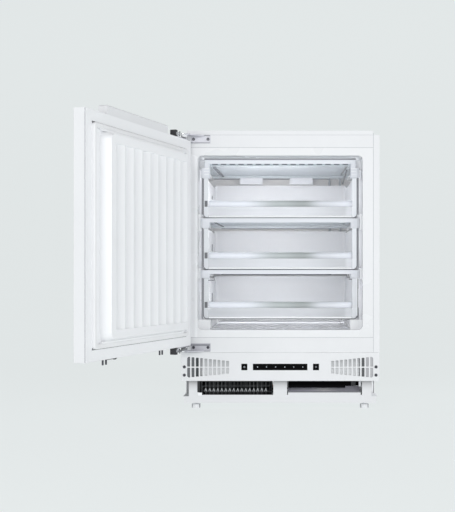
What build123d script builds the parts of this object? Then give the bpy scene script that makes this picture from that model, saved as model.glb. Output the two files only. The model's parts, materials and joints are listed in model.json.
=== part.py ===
"""Undercounter freezer with three drawers, built for behind a furniture door.

Millimetres. +X is to the right seen from the front, +Y runs back into the cabinet, +Z is up.
The origin is on the floor, under the middle of the cabinet's front plane.
The door is modelled open, as it stands when the drawers are in use.
"""

import math
import os

from build123d import *

os.makedirs("parts", exist_ok=True)

# cabinet
CASE_W = 596.0
CASE_D = 520.0
CASE_BOTTOM = 169.5
CASE_TOP = 822.0
SHEET = 1.0
SIDE_STRIP = 19.5
SEAT_GAP = 0.3

# front frame between the side strips
FRAME_PLATE = 2.0
TOP_BAR_TOP = CASE_TOP + 13.0
TOP_BAR_BOTTOM = CASE_TOP - 37.5
TOP_LIP_D = 42.0
BOTTOM_BAR_TOP = 214.5
WORKTOP_HOLE_R = 2.5
WORKTOP_HOLE_PITCH = 440.0

# liner
LINER_WALL = 2.0
MOUTH_W = 496.0
MOUTH_BOTTOM = 237.0
MOUTH_TOP = CASE_TOP - 61.5
MOUTH_R = 14.0
CAVITY_D = 440.0
CAVITY_TAPER = 6.0
LEDGE_W = 36.0
LEDGE_TOP = 267.0
LEDGE_SETBACK = 22.0
RAIL_H = 8.0

# evaporator shelves, by the height of each front trim, with the three bays sharing the mouth's height
BAYS = (180.0, 157.0, 179.0)
TOP_TRIM_GAP = 7.5
BAY_SCALE = (MOUTH_TOP - MOUTH_BOTTOM) / (sum(BAYS) + TOP_TRIM_GAP)
TRIM_TOPS = tuple(MOUTH_BOTTOM + BAY_SCALE * sum(BAYS[:count]) for count in (3, 2, 1))
TRIM_H = (14.0, 12.5, 12.5)
CAP_H = (56.0, 29.0, 24.0)
TOP_SHELF_DROP = 8.0
SHELF_W = 470.0
SHELF_BACK = 396.0
SHELF_T = 4.0
SKIRT_H = 12.0
SKIRT_T = 2.0
SLOT_X = 208.0
SLOT_LINE_W = 6.0
TRIM_FRONT = 31.0
TRIM_T = 7.0
CAP_INNER_X = 214.0
CAP_OUTER_X = 241.0
TOP_CAP_X = 230.5
TOP_CAP_STEP = 27.0
CAP_D = 29.0
RISER_R = 4.0

# drawers
DRAWER_W = 464.0
TUB_W = 452.0
TUB_WALL = 2.0
TUB_BACK = 404.0
DRAWER_FACE = 34.0
FRONT_T = 3.0
FRONT_LIFT = 2.7
FRONT_GAP = 3.0
CAP_GAP = 1.0
GRIP_D = 12.0
GRIP_H = 18.0
LOWER_FRONT_H = 35.0
POST_W = 13.0
POST_T = 1.0
DRAWER_R = 11.0
REAR_RAISE = (13.0, 8.0, 7.5)
REAR_RAMP = 30.0
STOP_W = 9.0
STOP_H = 18.0
STOP_T = 3.2

# base
BASE_BOTTOM = 18.0
BASE_SHEET = 1.5
BEAM_TOP = 42.0
PLINTH_BOTTOM = 84.0
PLINTH_T = 3.0
PLINTH_SET = 10.0
COLUMN_W = 41.0
BEAM_W = 577.0
FOOT_X = 255.0
FOOT_FRONT_Y = 32.0
FOOT_BACK_Y = 470.0
FOOT_R = 12.0
FOOT_H = 12.0
FOOT_STUD_R = 4.0
FOOT_TRAVEL_CLEAR = 0.1

# plinth openings
SLOT_COUNT = 10
SLOT_PITCH = 13.0
SLOT_W = 8.7
SLOT_FIRST_X = 274.65
SLOT_H_OUT = 62.0
SLOT_H_IN = 38.0
SLOT_BAR_H = 3.3
SLOT_MID_Z = 125.4
PLINTH_SCREW_R = 2.2
PLINTH_SCREW_HEAD_R = 4.6
PLINTH_SCREW_X = 287.5
PLINTH_SCREW_Z = (126.3, 101.7)
CONTROL_Z = 126.0
BUTTON_SIZE = 16.5
BUTTON_X = 107.5
BUTTON_TRAVEL_CLEAR = 0.3
DISPLAY_W = 162.0
DISPLAY_H = 18.0

# door, in its own directions: u from the hinge axis to the free edge, v towards the cabinet when closed
AXIS_X = -283.3
AXIS_Y = -21.7
OPEN_DEG = 109.5
DOOR_EDGE_U = -12.7
DOOR_W = 590.0
DOOR_BOTTOM = 192.0
DOOR_H = CASE_TOP - 20.0 - DOOR_BOTTOM
DOOR_INNER_V = 12.7
DOOR_T = 31.0
GASKET_INSET = 30.0
GASKET_W = 12.0
GASKET_T = 8.7
PLUG_SIDE = 66.0
PLUG_END = 44.0
PLUG_H = 29.0
PLUG_DRAFT = 9.0
FLUTE_COUNT = 9
FLUTE_PITCH = 45.6
FLUTE_FIRST_T = 118.0
FLUTE_W = 42.0
FLUTE_DEPTH = 5.0
FIX_RAIL_L = 337.0
FIX_RAIL_GAP = 52.0
FIX_RAIL_D = 26.0
FIX_RAIL_H = 25.0
STUD_R = 2.5
STUD_ROOT_R = 3.5
STUD_L = 15.5
STUD_TIP = 0.5
STUD_PAIR = 16.0
STUD_T = (116.0, 426.0)

# hinges
HINGE_PLATE_X = (-267.0, -209.0)
HINGE_PLATE_Z = (CASE_TOP - 25.0, CASE_TOP - 1.0)
HINGE_PLATE_T = 2.0
HINGE_SCREW_PITCH = 43.5
HINGE_SCREW_R = 2.5
HINGE_HEAD_R = 4.5
PIN_R = 3.0
PIN_GAP = 0.08
LINK_PIVOT = 15.0
LINK_W = 10.0
LINK_T = 3.0
ARM_L = 80.0
ARM_T = 3.0
ARM_W = 18.0
BLOCK_L = 26.0
BLOCK_H = 16.0
BLOCK_GAP = 1.0
LINK_L = ARM_L - BLOCK_L - BLOCK_GAP - LINK_PIVOT - LINK_W / 2
LUG_T = 4.0

door_angle = math.radians(-OPEN_DEG)
DOOR_U = Vector(math.cos(door_angle), math.sin(door_angle), 0)
DOOR_V = Vector(-math.sin(door_angle), math.cos(door_angle), 0)
DOOR_TOP = DOOR_BOTTOM + DOOR_H
DOOR_MID_Z = DOOR_BOTTOM + DOOR_H / 2
DOOR_MID_U = DOOR_EDGE_U + DOOR_W / 2
DOOR_FREE_U = DOOR_EDGE_U + DOOR_W
DOOR_OUTER_V = DOOR_INNER_V - DOOR_T


def door_point(u, v, z=0.0):
    """A point given along the door, towards the cabinet, and up."""
    return Vector(AXIS_X, AXIS_Y, z) + DOOR_U * u + DOOR_V * v


def door_plan(z):
    """A level plane in the door's own directions, with its origin on the hinge axis."""
    return Plane(origin=door_point(0, 0, z), x_dir=DOOR_U, z_dir=(0, 0, 1))


def door_face(v):
    """An upright plane along the door, whose normal points to the door's outside."""
    return Plane(origin=door_point(0, v), x_dir=DOOR_U, z_dir=-DOOR_V)


def front_plane(y):
    """An upright plane facing the front, for extruding towards the back with a negative amount."""
    return Plane(origin=(0, y, 0), x_dir=(1, 0, 0), z_dir=(0, -1, 0))


def side_plane(x):
    """An upright plane with Y across and Z up."""
    return Plane(origin=(x, 0, 0), x_dir=(0, 1, 0), z_dir=(1, 0, 0))


def save(part, name):
    part.label = name
    export_step(part, f"parts/{name}.step")


def box_between(x, y, z, mode=Mode.ADD):
    """A box from its limits along each direction."""
    with Locations(((x[0] + x[1]) / 2, (y[0] + y[1]) / 2, (z[0] + z[1]) / 2)):
        Box(x[1] - x[0], y[1] - y[0], z[1] - z[0], mode=mode)


HALF_W = CASE_W / 2
STRIP_X = HALF_W - SIDE_STRIP
MOUTH_H = MOUTH_TOP - MOUTH_BOTTOM
MOUTH_Z = (MOUTH_TOP + MOUTH_BOTTOM) / 2
FLOOR_TOP = CASE_BOTTOM + SHEET

# steel casing: two sides and a top, with the front edges folded in
with BuildPart() as outer_casing:
    with BuildSketch(front_plane(0)):
        with BuildLine():
            Polyline(
                (-HALF_W, CASE_BOTTOM),
                (-HALF_W, CASE_TOP),
                (HALF_W, CASE_TOP),
                (HALF_W, CASE_BOTTOM),
                (HALF_W - SHEET, CASE_BOTTOM),
                (HALF_W - SHEET, CASE_TOP - SHEET),
                (SHEET - HALF_W, CASE_TOP - SHEET),
                (SHEET - HALF_W, CASE_BOTTOM),
                close=True,
            )
        make_face()
    extrude(amount=-CASE_D)
    for side in (-1, 1):
        strip = sorted((side * STRIP_X, side * (HALF_W - SHEET / 2)))
        box_between(strip, (0, SHEET), (CASE_BOTTOM, CASE_TOP))
    box_between((-STRIP_X, STRIP_X), (0, FRAME_PLATE), (CASE_TOP - 2 * SHEET, CASE_TOP + SHEET), Mode.SUBTRACT)
    long_edges = outer_casing.edges().filter_by(Axis.Y).filter_by(lambda e: e.length > CASE_D / 2)
    corner_edges = long_edges.filter_by(
        lambda e: e.center().Z > CASE_TOP - SHEET / 2 and abs(e.center().X) > HALF_W - SHEET / 2
    )
    fillet(corner_edges, 0.8 * SHEET)
save(outer_casing.part, "outer_casing")

# one folded sheet closes the cabinet below and behind
with BuildPart() as rear_panel:
    box_between((SHEET - HALF_W, HALF_W - SHEET), (FRAME_PLATE, CASE_D), (CASE_BOTTOM, FLOOR_TOP))
    box_between(
        (SHEET - HALF_W, HALF_W - SHEET), (CASE_D - SHEET, CASE_D), (CASE_BOTTOM, CASE_TOP - SHEET)
    )
save(rear_panel.part, "rear_panel")

# two bumpers that keep the air gap behind the cabinet
SPACER_X = 190.0
SPACER_D = 28.0
SPACER_W = 46.0
SPACER_H = 120.0
SPACER_Z = CASE_TOP - 122.0
with BuildPart() as rear_spacers:
    with BuildSketch(front_plane(CASE_D)):
        with Locations((-SPACER_X, SPACER_Z), (SPACER_X, SPACER_Z)):
            RectangleRounded(SPACER_W, SPACER_H, 8)
    extrude(amount=-SPACER_D)
    chamfer(rear_spacers.faces().sort_by(Axis.Y)[-2:].edges(), 4)
save(rear_spacers.part, "rear_spacers")

# the lower hinge is the upper one mirrored about the door's middle height
LOW_PLATE_Z = tuple(2 * DOOR_MID_Z - z for z in reversed(HINGE_PLATE_Z))
hinge_screw_spots = [
    (sum(HINGE_PLATE_X) / 2 + side * HINGE_SCREW_PITCH / 2, sum(zs) / 2)
    for zs in (HINGE_PLATE_Z, LOW_PLATE_Z)
    for side in (-1, 1)
]
HINGE_SCREW_L = 14.0

# the bar over the mouth, whose lip stands on the casing and takes the worktop screws
TOP_HOLE_Y = TOP_LIP_D / 2
with BuildPart() as top_cross_bar:
    box_between((-STRIP_X, STRIP_X), (0, FRAME_PLATE), (TOP_BAR_BOTTOM, TOP_BAR_TOP))
    box_between((-STRIP_X, STRIP_X), (0, TOP_LIP_D), (TOP_BAR_TOP - FRAME_PLATE, TOP_BAR_TOP))
    box_between((-STRIP_X, STRIP_X), (TOP_LIP_D - FRAME_PLATE, TOP_LIP_D), (CASE_TOP, TOP_BAR_TOP))
    for side in (-1, 1):
        end = sorted((side * STRIP_X, side * (STRIP_X - FRAME_PLATE)))
        box_between(end, (FRAME_PLATE, TOP_LIP_D), (CASE_TOP, TOP_BAR_TOP))
    with Locations(
        (-WORKTOP_HOLE_PITCH / 2, TOP_HOLE_Y, TOP_BAR_TOP), (WORKTOP_HOLE_PITCH / 2, TOP_HOLE_Y, TOP_BAR_TOP)
    ):
        Cylinder(WORKTOP_HOLE_R, 3 * FRAME_PLATE, mode=Mode.SUBTRACT)
    with BuildSketch(front_plane(0)):
        with Locations(*hinge_screw_spots[:2]):
            Circle(HINGE_SCREW_R)
    extrude(amount=-FRAME_PLATE, mode=Mode.SUBTRACT)
save(top_cross_bar.part, "top_cross_bar")

with BuildPart() as bottom_cross_bar:
    box_between((-STRIP_X, STRIP_X), (0, FRAME_PLATE), (CASE_BOTTOM, BOTTOM_BAR_TOP))
    with BuildSketch(front_plane(0)):
        with Locations(*hinge_screw_spots[2:]):
            Circle(HINGE_SCREW_R)
    extrude(amount=-FRAME_PLATE, mode=Mode.SUBTRACT)
save(bottom_cross_bar.part, "bottom_cross_bar")

# inside of the liner, narrowing a little towards the back
REAR_MOUTH_W = MOUTH_W - 2 * CAVITY_TAPER
REAR_MOUTH_H = MOUTH_H - 2 * CAVITY_TAPER
LEDGE_X = MOUTH_W / 2 - LEDGE_W


def cavity(wall, back):
    """The space inside the liner, or with a wall added, its outside."""
    with BuildPart() as made:
        with BuildSketch(front_plane(0)):
            with Locations((0, MOUTH_Z)):
                RectangleRounded(MOUTH_W + 2 * wall, MOUTH_H + 2 * wall, MOUTH_R + wall)
        with BuildSketch(front_plane(back)):
            with Locations((0, MOUTH_Z)):
                RectangleRounded(REAR_MOUTH_W + 2 * wall, REAR_MOUTH_H + 2 * wall, MOUTH_R + wall)
        loft(ruled=True)
        for side in (-1, 1):
            across = sorted((side * (LEDGE_X + wall), side * HALF_W))
            up = (MOUTH_BOTTOM - 2 * LINER_WALL, LEDGE_TOP - wall)
            box_between(across, (LEDGE_SETBACK + wall, back + wall), up, Mode.SUBTRACT)
    return made.part


liner_outside = cavity(LINER_WALL, CAVITY_D + LINER_WALL)
liner_inside = cavity(0, CAVITY_D)
PLATE_TOPS = (TRIM_TOPS[0] - TOP_SHELF_DROP, TRIM_TOPS[1], TRIM_TOPS[2])
SHELF_FRONT = TRIM_FRONT + TRIM_T
RAIL_FRONT = TRIM_FRONT + CAP_D + 1
RAIL_INNER_X = TUB_W / 2 + 3

with BuildPart() as shelf_rails:
    for top in PLATE_TOPS:
        under = top - SKIRT_H
        for side in (-1, 1):
            across = sorted((side * RAIL_INNER_X, side * MOUTH_W / 2))
            box_between(across, (RAIL_FRONT, SHELF_BACK), (under - RAIL_H, under))
    add(liner_outside, mode=Mode.INTERSECT)

with BuildPart() as inner_liner:
    add(liner_outside)
    add(liner_inside, mode=Mode.SUBTRACT)
    with BuildSketch(front_plane(0)):
        with Locations((0, (BOTTOM_BAR_TOP + TOP_BAR_BOTTOM) / 2)):
            Rectangle(2 * STRIP_X, TOP_BAR_BOTTOM - BOTTOM_BAR_TOP)
        with Locations((0, MOUTH_Z)):
            RectangleRounded(MOUTH_W, MOUTH_H, MOUTH_R, mode=Mode.SUBTRACT)
    extrude(amount=-FRAME_PLATE)
    add(shelf_rails.part)
save(inner_liner.part, "inner_liner")

with BuildPart() as insulation_foam:
    box_between(
        (SHEET - HALF_W, HALF_W - SHEET), (FRAME_PLATE, CASE_D - SHEET), (FLOOR_TOP, CASE_TOP - SHEET)
    )
    add(liner_outside, mode=Mode.SUBTRACT)
    with BuildSketch(front_plane(0)):
        with Locations(*hinge_screw_spots):
            Circle(HINGE_SCREW_R)
    extrude(amount=-HINGE_SCREW_L, mode=Mode.SUBTRACT)
save(insulation_foam.part, "insulation_foam")

# evaporator shelves: a plate with a skirt folded down, notched for the end caps, with a slot by each side
CAP_BACK = TRIM_FRONT + CAP_D
SLOT_LINE = (SHELF_FRONT + 60, SHELF_BACK - 30)
for number, top in enumerate(PLATE_TOPS, 1):
    with BuildPart() as evaporator_shelf:
        box_between((-SHELF_W / 2, SHELF_W / 2), (SHELF_FRONT, SHELF_BACK), (top - SKIRT_H, top))
        box_between(
            (SKIRT_T - SHELF_W / 2, SHELF_W / 2 - SKIRT_T),
            (SHELF_FRONT + SKIRT_T, SHELF_BACK - SKIRT_T),
            (top - SKIRT_H, top - SHELF_T),
            Mode.SUBTRACT,
        )
        for side in (-1, 1):
            notch = sorted((side * (CAP_INNER_X - SEAT_GAP), side * HALF_W))
            box_between(notch, (SHELF_FRONT, CAP_BACK), (top - SKIRT_H, top), Mode.SUBTRACT)
            slot = sorted((side * (SLOT_X - SLOT_LINE_W / 2), side * (SLOT_X + SLOT_LINE_W / 2)))
            box_between(slot, SLOT_LINE, (top - SHELF_T, top), Mode.SUBTRACT)
    save(evaporator_shelf.part, f"evaporator_shelf_{number}")

# white mouldings in front of the shelves, with a cap at each end
with BuildPart() as shelf_trims:
    for top, trim_h, cap_h in zip(TRIM_TOPS, TRIM_H, CAP_H):
        box_between((-CAP_INNER_X, CAP_INNER_X), (TRIM_FRONT, SHELF_FRONT), (top - trim_h, top))
        for side in (-1, 1):
            across = sorted((side * CAP_INNER_X, side * CAP_OUTER_X))
            box_between(across, (TRIM_FRONT, CAP_BACK), (top - cap_h, top))
    for side in (-1, 1):
        corner = sorted((side * TOP_CAP_X, side * HALF_W))
        box_between(corner, (TRIM_FRONT, CAP_BACK), (TRIM_TOPS[0] - TOP_CAP_STEP, TRIM_TOPS[0]), Mode.SUBTRACT)
    chamfer(shelf_trims.edges().filter_by(Axis.Z).filter_by(lambda e: e.center().Y < TRIM_FRONT + 1), 2)
save(shelf_trims.part, "shelf_trims")

# tubes that carry the refrigerant down from shelf to shelf at the right of the back wall
RISER_GAP = 24.0
RISER_BEND = 9.0
RISER_BACK = SHELF_BACK + RISER_GAP
RISER_PATHS = ((118.0, 170.0), (182.0, 206.0))
with BuildPart() as evaporator_risers:
    for start_x, down_x in RISER_PATHS:
        run_z = PLATE_TOPS[0] - SHELF_T - RISER_R
        with BuildLine() as riser_path:
            FilletPolyline(
                (start_x, SHELF_BACK, run_z),
                (start_x, RISER_BACK, run_z),
                (down_x, RISER_BACK, run_z),
                (down_x, RISER_BACK, PLATE_TOPS[2] - SHELF_T - RISER_R),
                (down_x, SHELF_BACK, PLATE_TOPS[2] - SHELF_T - RISER_R),
                radius=RISER_BEND,
            )
        with BuildSketch(Plane(origin=(start_x, SHELF_BACK, run_z), z_dir=(0, 1, 0))):
            Circle(RISER_R)
        sweep()
save(evaporator_risers.part, "evaporator_risers")

# two white hooks that hold the top shelf's back edge to the liner
CLIP_X = (-99.0, 72.0)
CLIP_W = 78.0
CLIP_H = 21.0
with BuildPart() as evaporator_clips:
    clip_top = PLATE_TOPS[0] - SKIRT_H
    for x in CLIP_X:
        across = (x - CLIP_W / 2, x + CLIP_W / 2)
        box_between(across, (SHELF_BACK - 8, SHELF_BACK + 5), (clip_top - CLIP_H, clip_top))
        box_between(across, (SHELF_BACK, SHELF_BACK + 5), (clip_top, PLATE_TOPS[0]))
        box_between(
            (x - CLIP_W / 2 + 8, x + CLIP_W / 2 - 8), (SHELF_BACK - 5, SHELF_BACK + 2),
            (clip_top - CLIP_H + 3, clip_top - 3), Mode.SUBTRACT,
        )
save(evaporator_clips.part, "evaporator_clips")

# drawers: an open tub, and a clear front with a finger groove, lower front and side posts
drawer_floors = (PLATE_TOPS[1] + SEAT_GAP, PLATE_TOPS[2] + SEAT_GAP, LEDGE_TOP + SEAT_GAP)
TUB_FRONT = DRAWER_FACE + FRONT_T
for number, floor in enumerate(drawer_floors, 1):
    above = number - 1
    rim = TRIM_TOPS[above] - CAP_H[above] - CAP_GAP
    front_top = TRIM_TOPS[above] - TRIM_H[above] - FRONT_GAP
    front_bottom = floor + FRONT_LIFT
    with BuildPart() as tub:
        with BuildSketch(side_plane(-TUB_W / 2)):
            with BuildLine():
                Polyline(
                    (TUB_FRONT, floor),
                    (TUB_BACK, floor),
                    (TUB_BACK, rim + REAR_RAISE[above]),
                    (TUB_BACK - REAR_RAMP / 3, rim + REAR_RAISE[above]),
                    (TUB_BACK - REAR_RAMP, rim),
                    (TUB_FRONT, rim),
                    close=True,
                )
            make_face()
        extrude(amount=TUB_W)
        rear_corners = tub.edges().filter_by(Axis.Z).filter_by(lambda e: e.center().Y > TUB_BACK - 1)
        fillet(rear_corners, DRAWER_R)
        under_edges = tub.edges().filter_by(lambda e: e.center().Z < floor + 0.01)
        side_edges = under_edges.filter_by(lambda e: e.center().Y > TUB_FRONT + 1)
        fillet(side_edges, DRAWER_R - 3)
        openings = tub.faces().filter_by(lambda f: f.center().Y < TUB_FRONT + 0.01 or (
            f.normal_at().Z > 0.1 and f.center().Z > rim - 1
        ))
        offset(amount=-TUB_WALL, openings=openings)
    save(tub.part, f"drawer_{number}_tub")

    grip_low = floor + LOWER_FRONT_H
    grip_high = grip_low + GRIP_H
    stop_x = (-DRAWER_W / 2 + 2.5, -DRAWER_W / 2 + 2.5 + STOP_W)
    with BuildPart() as front:
        with BuildSketch(front_plane(DRAWER_FACE)):
            with Locations((0, (front_bottom + front_top) / 2)):
                RectangleRounded(DRAWER_W, front_top - front_bottom, DRAWER_R)
        extrude(amount=-FRONT_T)
        for side in (-1, 1):
            post = sorted((side * DRAWER_W / 2, side * (DRAWER_W / 2 - POST_W)))
            box_between(
                post, (DRAWER_FACE - POST_T, DRAWER_FACE), (front_bottom + DRAWER_R, rim - DRAWER_R)
            )
            corner = sorted((side * (CAP_INNER_X - 2 * CAP_GAP), side * HALF_W))
            box_between(
                corner, (DRAWER_FACE - POST_T, TUB_FRONT), (rim, front_top + DRAWER_R), Mode.SUBTRACT
            )
        groove_x = DRAWER_W / 2 - POST_W
        box_between((-groove_x, groove_x), (DRAWER_FACE, TUB_FRONT), (grip_low, grip_high), Mode.SUBTRACT)
        with BuildSketch(side_plane(-groove_x)):
            with BuildLine():
                ThreePointArc(
                    (DRAWER_FACE, grip_low),
                    (DRAWER_FACE + GRIP_D, (grip_low + grip_high) / 2),
                    (DRAWER_FACE, grip_high),
                )
                Line((DRAWER_FACE, grip_high), (TUB_FRONT, grip_high + FRONT_T / 3))
                ThreePointArc(
                    (TUB_FRONT, grip_high + FRONT_T / 3),
                    (DRAWER_FACE + GRIP_D + TUB_WALL, (grip_low + grip_high) / 2),
                    (TUB_FRONT, grip_low - FRONT_T / 3),
                )
                Line((TUB_FRONT, grip_low - FRONT_T / 3), (DRAWER_FACE, grip_low))
            make_face()
        extrude(amount=2 * groove_x)
        box_between(
            stop_x, (DRAWER_FACE - POST_T, DRAWER_FACE + STOP_T - POST_T), (grip_low, grip_high), Mode.SUBTRACT
        )
    save(front.part, f"drawer_{number}_front")

    with BuildPart() as stop_block:
        box_between(
            stop_x, (DRAWER_FACE - POST_T, DRAWER_FACE + STOP_T - POST_T), (grip_low, grip_high)
        )
    save(stop_block.part, f"drawer_{number}_stop")

# base: a steel tray that carries the cabinet on its sides, with feet screwed into its corners
BASE_FRONT = 5.5
BASE_BACK = CASE_D
BASE_X = BEAM_W / 2
PAN_TOP = BASE_BOTTOM + BASE_SHEET
foot_spots = [(side * FOOT_X, y) for y in (FOOT_FRONT_Y, FOOT_BACK_Y) for side in (-1, 1)]
BUSH_R = 9.0
BUSH_H = 16.0
SIDE_COLUMN_IN = 246.0
SIDE_COLUMN_OUT = 274.5
PAN_WALL_X = 283.0
GUSSET = 10.0
plinth_screws_at = [(side * PLINTH_SCREW_X, z) for side in (-1, 1) for z in PLINTH_SCREW_Z]
BRACKET_Y = (14.0, 19.0)
BRACKET_Z = (PLINTH_SCREW_Z[1] - 9, PLINTH_SCREW_Z[0] + 9)
with BuildPart() as base_pan:
    box_between((-PAN_WALL_X, PAN_WALL_X), (BASE_FRONT, BASE_BACK), (BASE_BOTTOM, PAN_TOP))
    for side in (-1, 1):
        wall = sorted((side * PAN_WALL_X, side * (PAN_WALL_X - BASE_SHEET)))
        box_between(wall, (BASE_FRONT, BASE_BACK), (PAN_TOP, CASE_BOTTOM))
        shelf = sorted((side * PAN_WALL_X, side * (PAN_WALL_X - 20)))
        box_between(shelf, (BASE_FRONT + 14, BASE_BACK), (CASE_BOTTOM - BASE_SHEET, CASE_BOTTOM))
        with BuildSketch(front_plane(BASE_FRONT)):
            with BuildLine():
                Polyline(
                    (side * PAN_WALL_X, BEAM_TOP - GUSSET / 2),
                    (side * (PAN_WALL_X + GUSSET), BEAM_TOP - GUSSET / 2),
                    (side * PAN_WALL_X, BEAM_TOP + GUSSET),
                    close=True,
                )
            make_face()
        extrude(amount=-16)
        bracket = sorted((side * (PAN_WALL_X - BASE_SHEET), side * (PAN_WALL_X + GUSSET)))
        box_between(bracket, BRACKET_Y, BRACKET_Z)
    with BuildSketch(front_plane(0)):
        with Locations(*plinth_screws_at):
            Circle(PLINTH_SCREW_R)
    extrude(amount=-2 * BRACKET_Y[1], mode=Mode.SUBTRACT)
    with Locations(*[(x, y, PAN_TOP + BUSH_H / 2) for x, y in foot_spots]):
        Cylinder(BUSH_R, BUSH_H)
    with Locations(*[(x, y, PAN_TOP) for x, y in foot_spots]):
        Cylinder(FOOT_STUD_R + FOOT_TRAVEL_CLEAR, 4 * BUSH_H, mode=Mode.SUBTRACT)
save(base_pan.part, "base_pan")

# front beam of the base with two side columns and one in the middle
BEAM_T = 1.5
BEAM_Y = (BASE_FRONT - BEAM_T, BASE_FRONT)
COLUMN_TOP = CASE_BOTTOM
COLUMN_NARROW = 8.0
GUIDE_X = (24.0, 242.0)
GUIDE_LIP = 7.0
MID_COLUMN_TOP = 100.0
with BuildPart() as base_front_beam:
    box_between((-BASE_X, BASE_X), BEAM_Y, (BASE_BOTTOM, BEAM_TOP))
    box_between((-COLUMN_W / 2, COLUMN_W / 2), BEAM_Y, (BEAM_TOP, MID_COLUMN_TOP))
    box_between(GUIDE_X, BEAM_Y, (BEAM_TOP, BEAM_TOP + GUIDE_LIP))
    for side in (-1, 1):
        column = sorted((side * SIDE_COLUMN_IN, side * SIDE_COLUMN_OUT))
        box_between(column, BEAM_Y, (BEAM_TOP, PLINTH_BOTTOM + 4))
        narrow = sorted((side * (SIDE_COLUMN_IN + COLUMN_NARROW), side * SIDE_COLUMN_OUT))
        box_between(narrow, BEAM_Y, (PLINTH_BOTTOM, CASE_BOTTOM))
save(base_front_beam.part, "base_front_beam")

# light-grey filter trays behind the inner slots of each vent
FILTER_X = (150.0, 241.0)
FILTER_D = 9.0
FILTER_WALL = 1.5
with BuildPart() as vent_filters:
    for side in (-1, 1):
        across = sorted((side * FILTER_X[0], side * FILTER_X[1]))
        inside = (across[0] + FILTER_WALL, across[1] - FILTER_WALL)
        up = (SLOT_MID_Z - SLOT_H_OUT / 2, SLOT_MID_Z + SLOT_H_OUT / 2)
        box_between(across, (PLINTH_T, PLINTH_T + FILTER_D), up)
        box_between(
            inside, (PLINTH_T, PLINTH_T + FILTER_D - FILTER_WALL),
            (up[0] + FILTER_WALL, up[1] - FILTER_WALL), Mode.SUBTRACT,
        )
save(vent_filters.part, "vent_filters")

foot_names = ("foot_front_left", "foot_front_right", "foot_rear_left", "foot_rear_right")
FOOT_STUD_TOP = 85.0
for (x, y), name in zip(foot_spots, foot_names):
    with BuildPart() as foot:
        with Locations((x, y, FOOT_H / 2)):
            Cylinder(FOOT_R, FOOT_H)
        chamfer(foot.edges().group_by(Axis.Z)[-1], 1.5)
        with Locations((x, y, (FOOT_H + FOOT_STUD_TOP) / 2)):
            Cylinder(FOOT_STUD_R, FOOT_STUD_TOP - FOOT_H)
    save(foot.part, name)

# plinth panel with two louvred vents, control openings and screw holes
PLINTH_TOP = CASE_BOTTOM - SEAT_GAP
slot_centres = [SLOT_FIRST_X - SLOT_PITCH * k for k in range(SLOT_COUNT)]
slot_fall = (SLOT_H_OUT - SLOT_H_IN) / (SLOT_COUNT - 1)
BUTTON_GAP = 0.2
with BuildPart() as plinth_panel:
    box_between((-HALF_W, HALF_W), (0, PLINTH_T), (PLINTH_BOTTOM, PLINTH_TOP))
    front_edges = plinth_panel.edges().filter_by(lambda e: e.center().Y < 0.01)
    chamfer(front_edges, 0.8)
    with BuildSketch(front_plane(0)):
        for k, x in enumerate(slot_centres):
            height = (SLOT_H_OUT - slot_fall * k - SLOT_BAR_H) / 2
            for side in (-1, 1):
                for up in (-1, 1):
                    with Locations((side * x, SLOT_MID_Z + up * (SLOT_BAR_H + height) / 2)):
                        RectangleRounded(SLOT_W, height, 1.5)
        with Locations((-BUTTON_X, CONTROL_Z), (BUTTON_X, CONTROL_Z)):
            Rectangle(BUTTON_SIZE + 2 * BUTTON_GAP, DISPLAY_H + 2 * BUTTON_GAP)
        with Locations((0, CONTROL_Z)):
            Rectangle(DISPLAY_W, DISPLAY_H)
        with Locations(*plinth_screws_at):
            Circle(PLINTH_SCREW_R)
    extrude(amount=-PLINTH_T, mode=Mode.SUBTRACT)
    for side in (-1, 1):
        flange = sorted((side * HALF_W, side * (HALF_W - 2)))
        box_between(flange, (PLINTH_T, 14), (PLINTH_BOTTOM, PLINTH_TOP))
    box_between((-HALF_W, HALF_W), (PLINTH_T, 3.9), (PLINTH_BOTTOM, PLINTH_BOTTOM + 2))
save(plinth_panel.part, "plinth_panel")

PLINTH_SCREW_L = 22.0
PLINTH_HEAD_T = 1.6
with BuildPart() as plinth_screws:
    with BuildSketch(front_plane(0)):
        with Locations(*plinth_screws_at):
            Circle(PLINTH_SCREW_HEAD_R)
    extrude(amount=PLINTH_HEAD_T)
    fillet(plinth_screws.edges().group_by(Axis.Y)[0], 0.7)
    with BuildSketch(front_plane(-PLINTH_HEAD_T)):
        with Locations(*plinth_screws_at):
            RegularPolygon(1.8, 6)
    extrude(amount=-0.9, mode=Mode.SUBTRACT)
    with BuildSketch(front_plane(0)):
        with Locations(*plinth_screws_at):
            Circle(PLINTH_SCREW_R)
    extrude(amount=-PLINTH_SCREW_L)
save(plinth_screws.part, "plinth_screws")

# controls: display window, two push buttons and the box behind them
WINDOW_FRONT = -0.4
BOX_FRONT = 11.0
BOX_D = 15.0
BOX_W = 262.0
BOX_H = 38.0
BUTTON_TRAVEL = 1.2
with BuildPart() as display_window:
    box_between(
        (-DISPLAY_W / 2, DISPLAY_W / 2), (WINDOW_FRONT, BOX_FRONT),
        (CONTROL_Z - DISPLAY_H / 2, CONTROL_Z + DISPLAY_H / 2),
    )
save(display_window.part, "display_window")

for side, name in ((-1, "power_button"), (1, "function_button")):
    with BuildPart() as button:
        x = side * BUTTON_X
        box_between(
            (x - BUTTON_SIZE / 2, x + BUTTON_SIZE / 2),
            (WINDOW_FRONT, BOX_FRONT - BUTTON_TRAVEL - BUTTON_TRAVEL_CLEAR),
            (CONTROL_Z - DISPLAY_H / 2, CONTROL_Z + DISPLAY_H / 2),
        )
        box_between(
            (x - BUTTON_SIZE / 2 - 2, x + BUTTON_SIZE / 2 + 2),
            (PLINTH_T + SEAT_GAP, PLINTH_T + 2),
            (CONTROL_Z - DISPLAY_H / 2 - 2, CONTROL_Z + DISPLAY_H / 2 + 2),
        )
    save(button.part, name)

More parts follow.
